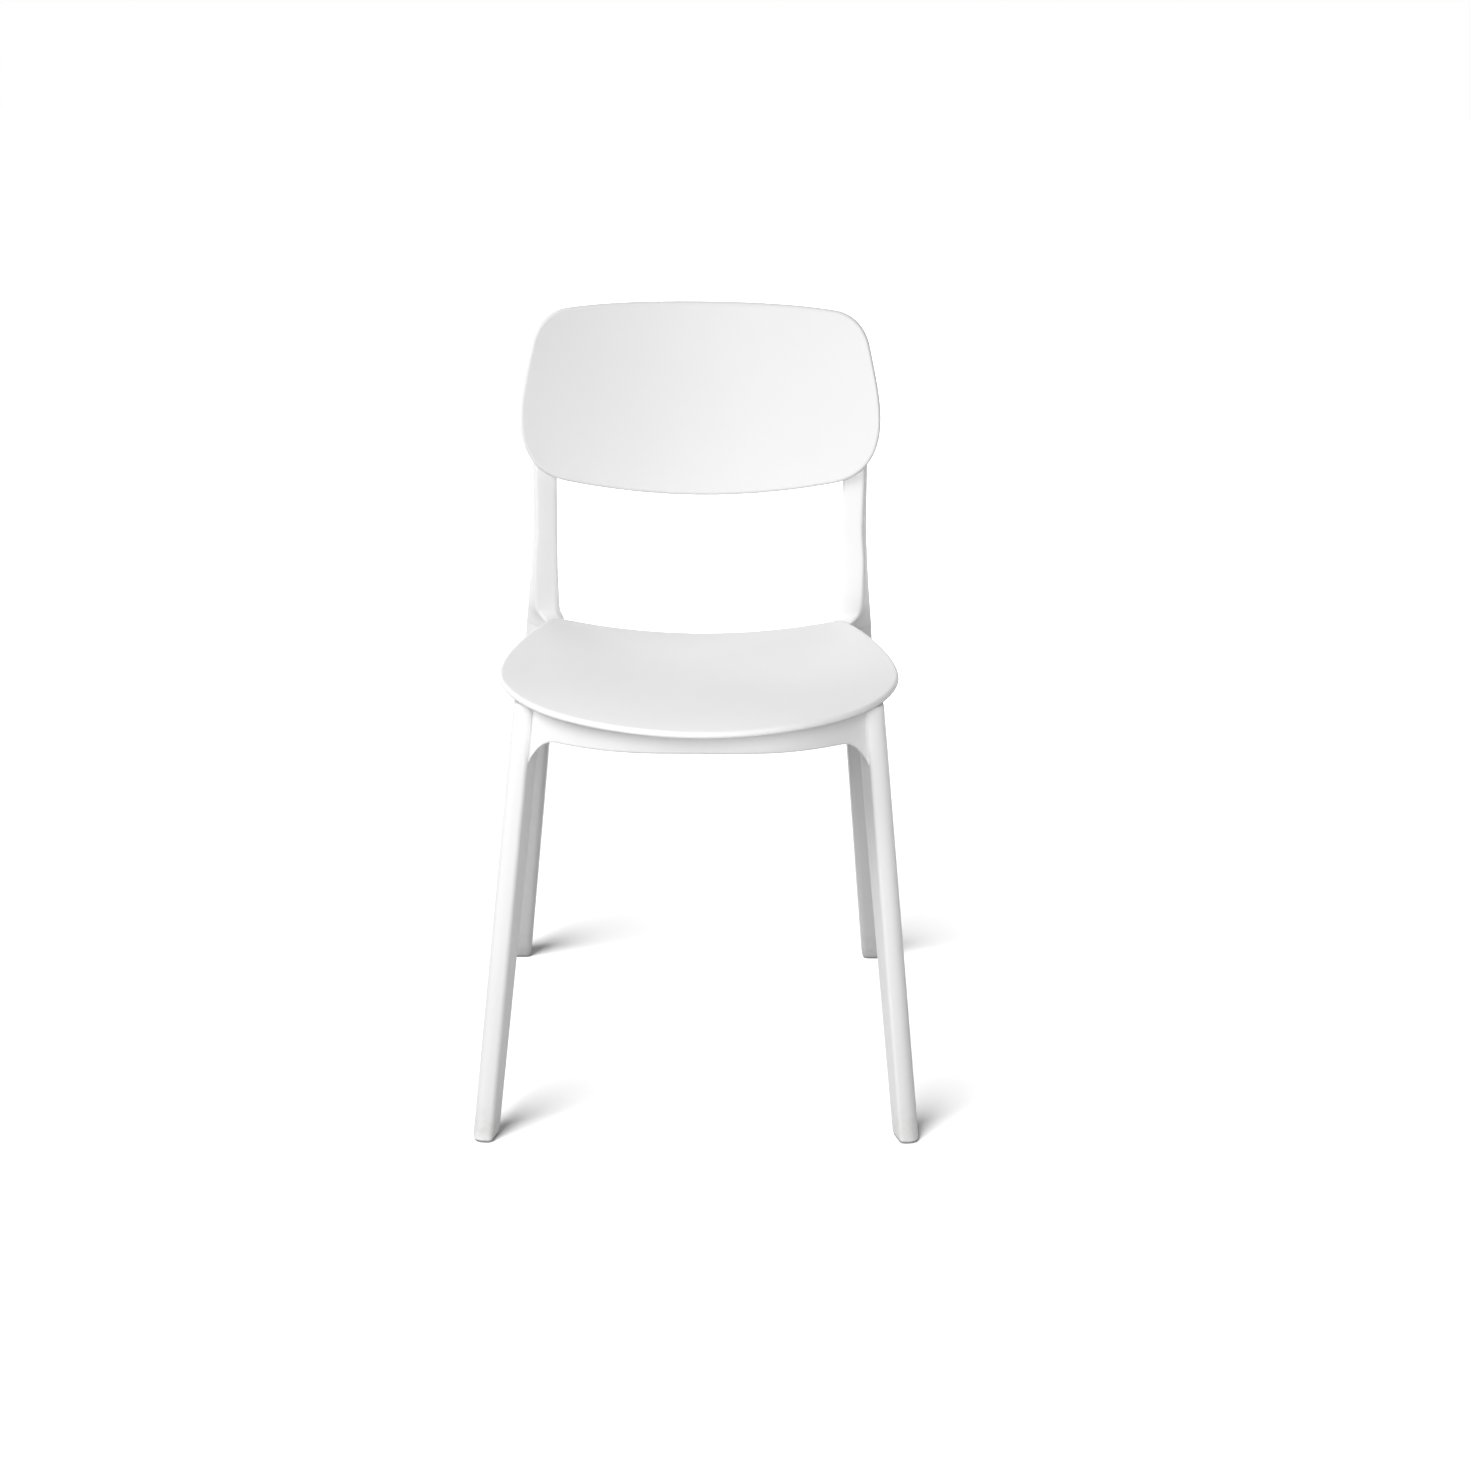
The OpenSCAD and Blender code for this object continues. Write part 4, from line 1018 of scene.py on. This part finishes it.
def grain_group():
    """Fine moulded grain: a bump, and roughness that drifts around its own value."""
    g, given, result, coords = group("moulded_grain", {"Scale": 900.0, "Depth": 0.2, "Rough": 0.42},
                                     {"Normal": VECTOR, "Roughness": VALUE})
    cell = g.add("ShaderNodeTexVoronoi", feature="SMOOTH_F1", Smoothness=0.8)
    g.join(coords, cell.inputs["Vector"])
    g.join(given["Scale"], cell.inputs["Scale"])
    wave = g.noise(coords, scale=26.0, detail=3.0)
    slow_wave = g.noise(coords, scale=7.0, detail=2.0)
    height = g.maths("MULTIPLY_ADD", cell.outputs["Distance"], 0.6, g.maths("MULTIPLY", wave, 0.5))
    bump = g.add("ShaderNodeBump", Distance=GRAIN_HEIGHT)
    g.join(given["Depth"], bump.inputs["Strength"])
    g.join(height, bump.inputs["Height"])
    g.join(bump.outputs["Normal"], result["Normal"])
    drift = g.maths("SUBTRACT", g.maths("ADD", wave, slow_wave), 1.0)
    shift = g.maths("MULTIPLY", drift, ROUGHNESS_DRIFT)
    g.join(g.maths("ADD", given["Rough"], shift, clamp=True), result["Roughness"])
    return g.tree


# Pointiness at which an edge starts to be rubbed and is fully rubbed
RUB_START = 0.51
RUB_FULL = 0.56
# Turn and stretch that draw the noise out into hairlines, and how far a hairline reaches
SCUFF_TURN = (0.3, 0.2, 0.9)
SCUFF_STRETCH = (4.0, 60.0, 30.0)
SCUFF_WIDTH = 0.006
# Heights above the floor between which the dust fades, in metres
DUST_FULL = 0.003
DUST_END = 0.05


def wear_group():
    """Masks, each at its own strength, for faint rubbing on raised edges, hairline scuffs and dust
    low down, and one for the drift of the colour."""
    g, given, result, coords = group("light_wear", {"Edges": 0.35, "Scuffs": 0.5, "Dust": 0.45},
                                     {"Edge": VALUE, "Scuff": VALUE, "Foot": VALUE, "Tone": VALUE})
    pointed = g.add("ShaderNodeNewGeometry").outputs["Pointiness"]
    broken = g.remap(g.noise(coords, scale=60.0, detail=5.0), 0.4, 0.65)
    edge = g.maths("MULTIPLY", g.remap(pointed, RUB_START, RUB_FULL), broken)
    g.join(g.maths("MULTIPLY", edge, given["Edges"]), result["Edge"])
    turned = g.add("ShaderNodeMapping", Rotation=SCUFF_TURN, Scale=SCUFF_STRETCH)
    g.join(coords, turned.inputs["Vector"])
    line = g.noise(turned.outputs["Vector"], scale=9.0, detail=2.0)
    off_line = g.maths("ABSOLUTE", g.maths("SUBTRACT", line, 0.5))
    thin = g.remap(off_line, 0.0, SCUFF_WIDTH, 1.0, 0.0)
    where = g.remap(g.noise(coords, scale=11.0, detail=3.0), 0.55, 0.7)
    g.join(g.maths("MULTIPLY", g.maths("MULTIPLY", thin, where), given["Scuffs"]), result["Scuff"])
    split = g.add("ShaderNodeSeparateXYZ")
    g.join(coords, split.inputs[0])
    low = g.remap(split.outputs["Z"], DUST_FULL, DUST_END, 1.0, 0.0)
    patch = g.remap(g.noise(coords, scale=90.0, detail=4.0), 0.35, 0.75, 0.2, 1.0)
    g.join(g.maths("MULTIPLY", g.maths("MULTIPLY", low, patch), given["Dust"]), result["Foot"])
    g.join(g.remap(g.noise(coords, scale=5.0, detail=3.0), 0.3, 0.7), result["Tone"])
    return g.tree


GRAIN = grain_group()
WEAR = wear_group()


# -------------------- materials


def material(name):
    """An empty material with a Principled shader on its surface."""
    mat = bpy.data.materials.new(name)
    mat.use_nodes = True
    mat.node_tree.nodes.clear()
    g = Graph(mat.node_tree)
    shader = g.add("ShaderNodeBsdfPrincipled")
    out = g.add("ShaderNodeOutputMaterial")
    g.join(shader.outputs[0], out.inputs["Surface"])
    return mat, g, shader


# How dark the colour drifts, how far rubbed edges are polished and scuffs dulled, and the gloss
TONE_DRIFT = 0.985
EDGE_POLISH = 0.17
SCUFF_DULL = 0.16
PLASTIC_GLOSS = 0.32
WHITE = grey(0.86)
WORN_WHITE = grey(0.80)
PALE_DUST = (0.60, 0.58, 0.55, 1.0)


def plastic(name, colour, worn, dust, scale, depth, rough):
    """Moulded plastic: a colour that drifts a little, with grain, rubbed edges and dusty feet."""
    mat, g, shader = material(name)
    grain = g.add("ShaderNodeGroup", node_tree=GRAIN, Scale=scale, Depth=depth, Rough=rough).outputs
    wear = g.add("ShaderNodeGroup", node_tree=WEAR).outputs
    shaded = tuple(c * TONE_DRIFT for c in colour[:3]) + (1.0,)
    drifting = g.blend(wear["Tone"], colour, shaded)
    scuffed = g.blend(wear["Scuff"], drifting, worn)
    rubbed = g.blend(wear["Edge"], scuffed, worn)
    g.join(g.blend(wear["Foot"], rubbed, dust), shader.inputs["Base Color"])
    polish = g.maths("MULTIPLY", wear["Edge"], EDGE_POLISH)
    dull = g.maths("MULTIPLY", wear["Scuff"], SCUFF_DULL)
    polished = g.maths("SUBTRACT", grain["Roughness"], polish)
    g.join(g.maths("ADD", polished, dull, clamp=True), shader.inputs["Roughness"])
    g.join(grain["Normal"], shader.inputs["Normal"])
    shader.inputs["Specular IOR Level"].default_value = PLASTIC_GLOSS
    return mat


# How much rougher the specks of bare metal are, and their height in metres
SPECK_ROUGH = 0.14
SPECK_HEIGHT = 0.00005


def metal(name, colour, dark, rough):
    """Bare metal with fine darker and rougher specks."""
    mat, g, shader = material(name)
    coords = g.add("ShaderNodeTexCoord").outputs["Object"]
    specks = g.remap(g.noise(coords, scale=700.0, detail=4.0), 0.35, 0.7)
    g.join(g.blend(specks, colour, dark), shader.inputs["Base Color"])
    g.join(g.maths("MULTIPLY_ADD", specks, SPECK_ROUGH, rough), shader.inputs["Roughness"])
    shader.inputs["Metallic"].default_value = 1.0
    bump = g.add("ShaderNodeBump", Distance=SPECK_HEIGHT, Strength=0.3)
    g.join(g.noise(coords, scale=1500.0, detail=2.0), bump.inputs["Height"])
    g.join(bump.outputs["Normal"], shader.inputs["Normal"])
    return mat


MATERIALS = {
    "shell": plastic("white_shell", WHITE, WORN_WHITE, PALE_DUST,
                     scale=1100.0, depth=0.22, rough=0.5),
    "frame": plastic("white_frame", WHITE, WORN_WHITE, PALE_DUST,
                     scale=1500.0, depth=0.12, rough=0.48),
    "cap": plastic("white_cap", grey(0.83), grey(0.78), PALE_DUST,
                   scale=1800.0, depth=0.1, rough=0.36),
    "glide": plastic("grey_glide", (0.42, 0.43, 0.44, 1.0), grey(0.52), (0.33, 0.32, 0.31, 1.0),
                     scale=1400.0, depth=0.25, rough=0.55),
    "pad": plastic("soft_pad", (0.34, 0.35, 0.36, 1.0), grey(0.42), (0.30, 0.29, 0.28, 1.0),
                   scale=1600.0, depth=0.4, rough=0.75),
    "steel": metal("zinc_steel", (0.62, 0.63, 0.65, 1.0), (0.48, 0.49, 0.51, 1.0), rough=0.3),
    "brass": metal("turned_brass", (0.78, 0.62, 0.32, 1.0), (0.62, 0.47, 0.22, 1.0), rough=0.28),
}

SLOTS = {s["node"]: s["material_slot"] for s in frame["record"]["subparts"]}


def paint(obj, mat):
    obj.data.materials.clear()
    obj.data.materials.append(mat)


for node_name, node_object in frame["nodes"].items():
    paint(node_object, MATERIALS[SLOTS[node_name]])
for obj in bpy.data.objects:
    if obj.get("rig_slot"):
        paint(obj, MATERIALS[obj["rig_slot"]])


# -------------------- floor, light and camera

# Floor: size and gap below the feet in metres, its grey to the camera and to the light that it
# throws back, and the glow that lifts it to white between two distances from the chair
FLOOR_SIZE = 60.0
FLOOR_BELOW_FEET = 0.0002
FLOOR_SEEN = grey(0.8)
FLOOR_BOUNCE = grey(0.07)
GLOW_NEAR = 0.04
GLOW_FAR = 1.0
GLOW_START = 0.7
GLOW_END = 2.2

# Broad light for the floor alone: strength, and its width and direction in degrees
FLOOR_LIGHT = 5.6
FLOOR_LIGHT_WIDTH = 40.0
FLOOR_LIGHT_AZIMUTH = 44.0
FLOOR_LIGHT_ELEVATION = 50.0

# Soft boxes around the chair: azimuth and elevation in degrees, distance and size in metres, power
# in watts, and whether they gleam in the plastic
LAMPS = {
    "key": (0.0, 22.0, 1.45, 0.8, 11.3, True),
    "low": (0.0, 0.0, 1.45, 0.8, 2.9, True),
    "side": (75.0, 32.0, 3.2, 1.8, 65.0, True),
    "rear_right": (-140.0, 18.0, 3.2, 1.8, 28.0, False),
    "rear_left": (150.0, 18.0, 3.2, 1.8, 40.0, False),
}
# The point that they all look at, in metres, and the strength of the even light from all around
LAMP_AIM = (0.0, 0.0, 0.42)
SURROUND = 0.2

# Camera: place and farthest sight in metres, turns in degrees, lens and sensor in millimetres
CAMERA_PLACE = (-0.00443, -2.15421, 1.09300)
CAMERA_PITCH = 18.597
CAMERA_YAW = -1.181
CAMERA_ROLL = -0.739
CAMERA_LENS = 50.555
CAMERA_SENSOR = 36.0
CAMERA_FAR = 200.0


def towards(azimuth, elevation):
    """Direction to a lamp; azimuth turns from straight in front of the chair towards -X."""
    a, e = math.radians(azimuth), math.radians(elevation)
    return Vector((-math.sin(a) * math.cos(e), -math.cos(a) * math.cos(e), math.sin(e)))


def seen_mask(g):
    """One for rays from the camera and for mirrored or transmitted ones."""
    seen = g.add("ShaderNodeLightPath")
    direct = g.maths("MAXIMUM", seen.outputs["Is Camera Ray"], seen.outputs["Is Glossy Ray"])
    return g.maths("MAXIMUM", direct, seen.outputs["Is Transmission Ray"])


def make_floor():
    """Floor that the camera sees as white but for the shadows; from below it is clear."""
    bm = bmesh.new()
    bmesh.ops.create_grid(bm, x_segments=8, y_segments=8, size=FLOOR_SIZE / 2)
    mesh = bpy.data.meshes.new("floor")
    bm.to_mesh(mesh)
    bm.free()
    floor = in_scene("floor", mesh)
    floor.location.z = -FLOOR_BELOW_FEET
    mat, g, shader = material("studio_floor")
    seen = seen_mask(g)
    g.join(g.blend(seen, FLOOR_BOUNCE, FLOOR_SEEN), shader.inputs["Base Color"])
    shader.inputs["Roughness"].default_value = 0.9
    shader.inputs["Specular IOR Level"].default_value = 0.0
    away = g.add("ShaderNodeVectorMath", operation="LENGTH")
    g.join(g.add("ShaderNodeTexCoord").outputs["Object"], away.inputs[0])
    glow = g.remap(away.outputs["Value"], GLOW_START, GLOW_END, GLOW_NEAR, GLOW_FAR)
    g.join(g.maths("MULTIPLY", glow, seen), shader.inputs["Emission Strength"])
    shader.inputs["Emission Color"].default_value = grey(1.0)
    below = g.add("ShaderNodeNewGeometry").outputs["Backfacing"]
    g.join(g.maths("SUBTRACT", 1.0, below), shader.inputs["Alpha"])
    paint(floor, mat)
    return floor


def make_world():
    """Plain white to the camera and in gloss, and an even dimmer light on the chair."""
    world = bpy.data.worlds.new("studio")
    bpy.context.scene.world = world
    world.use_nodes = True
    world.node_tree.nodes.clear()
    g = Graph(world.node_tree)
    light = g.add("ShaderNodeBackground", Color=grey(1.0), Strength=SURROUND)
    white = g.add("ShaderNodeBackground", Color=grey(1.0), Strength=1.0)
    mix = g.add("ShaderNodeMixShader")
    out = g.add("ShaderNodeOutputWorld")
    g.join(seen_mask(g), mix.inputs[0])
    g.join(light.outputs[0], mix.inputs[1])
    g.join(white.outputs[0], mix.inputs[2])
    g.join(mix.outputs[0], out.inputs["Surface"])


def linked(name, objects, state):
    """A collection that names what a lamp lights or leaves out, or what throws a shadow in it."""
    collection = bpy.data.collections.new(name)
    for obj in objects:
        collection.objects.link(obj)
    for entry in collection.collection_objects:
        entry.light_linking.link_state = state
    return collection


def add_lamp(name, data, matrix, lit):
    """A lamp that the camera doesn't see and that lights only what a collection says."""
    lamp = in_scene(name, data)
    lamp.matrix_world = matrix
    lamp.visible_camera = False
    lamp.light_linking.receiver_collection = lit
    return lamp


def make_lamp(name, azimuth, elevation, distance, size, power, gleams, lit):
    """A square soft box that looks at the chair."""
    direction = towards(azimuth, elevation)
    data = bpy.data.lights.new(name, "AREA")
    data.shape = "SQUARE"
    data.size = size
    data.energy = power
    place = Matrix.Translation(Vector(LAMP_AIM) + direction * distance)
    turn = direction.to_track_quat("Z", "Y").to_matrix().to_4x4()
    add_lamp(name, data, place @ turn, lit).visible_glossy = gleams


def make_floor_light(floor):
    """A broad light for the floor alone, in which only the legs throw a soft shadow."""
    data = bpy.data.lights.new("floor_light", "SUN")
    data.energy = FLOOR_LIGHT
    data.angle = math.radians(FLOOR_LIGHT_WIDTH)
    turn = towards(FLOOR_LIGHT_AZIMUTH, FLOOR_LIGHT_ELEVATION).to_track_quat("Z", "Y")
    lamp = add_lamp("floor_light", data, turn.to_matrix().to_4x4(),
                    linked("floor_only", [floor], "INCLUDE"))
    legs = [o for o in bpy.data.objects
            if o.type == "MESH" and ("leg_" in o.name or "foot_glide" in o.name)]
    lamp.light_linking.blocker_collection = linked("legs_only", legs, "INCLUDE")


def make_camera():
    data = bpy.data.cameras.new("view")
    data.sensor_fit = "HORIZONTAL"
    data.sensor_width = CAMERA_SENSOR
    data.lens = CAMERA_LENS
    data.clip_end = CAMERA_FAR
    camera = in_scene("view", data)
    pitch, yaw, roll = (math.radians(a) for a in (CAMERA_PITCH, CAMERA_YAW, CAMERA_ROLL))
    camera.matrix_world = (Matrix.Translation(CAMERA_PLACE)
                           @ Matrix.Rotation(yaw, 4, "Z")
                           @ Matrix.Rotation(math.pi / 2 - pitch, 4, "X")
                           @ Matrix.Rotation(-roll, 4, "Z"))
    bpy.context.scene.camera = camera


make_camera()
studio_floor = make_floor()
chair = linked("not_the_floor", [studio_floor], "EXCLUDE")
make_floor_light(studio_floor)
make_world()
for lamp_name, lamp_settings in LAMPS.items():
    make_lamp(lamp_name, *lamp_settings, chair)

bpy.context.scene.view_settings.view_transform = "Standard"
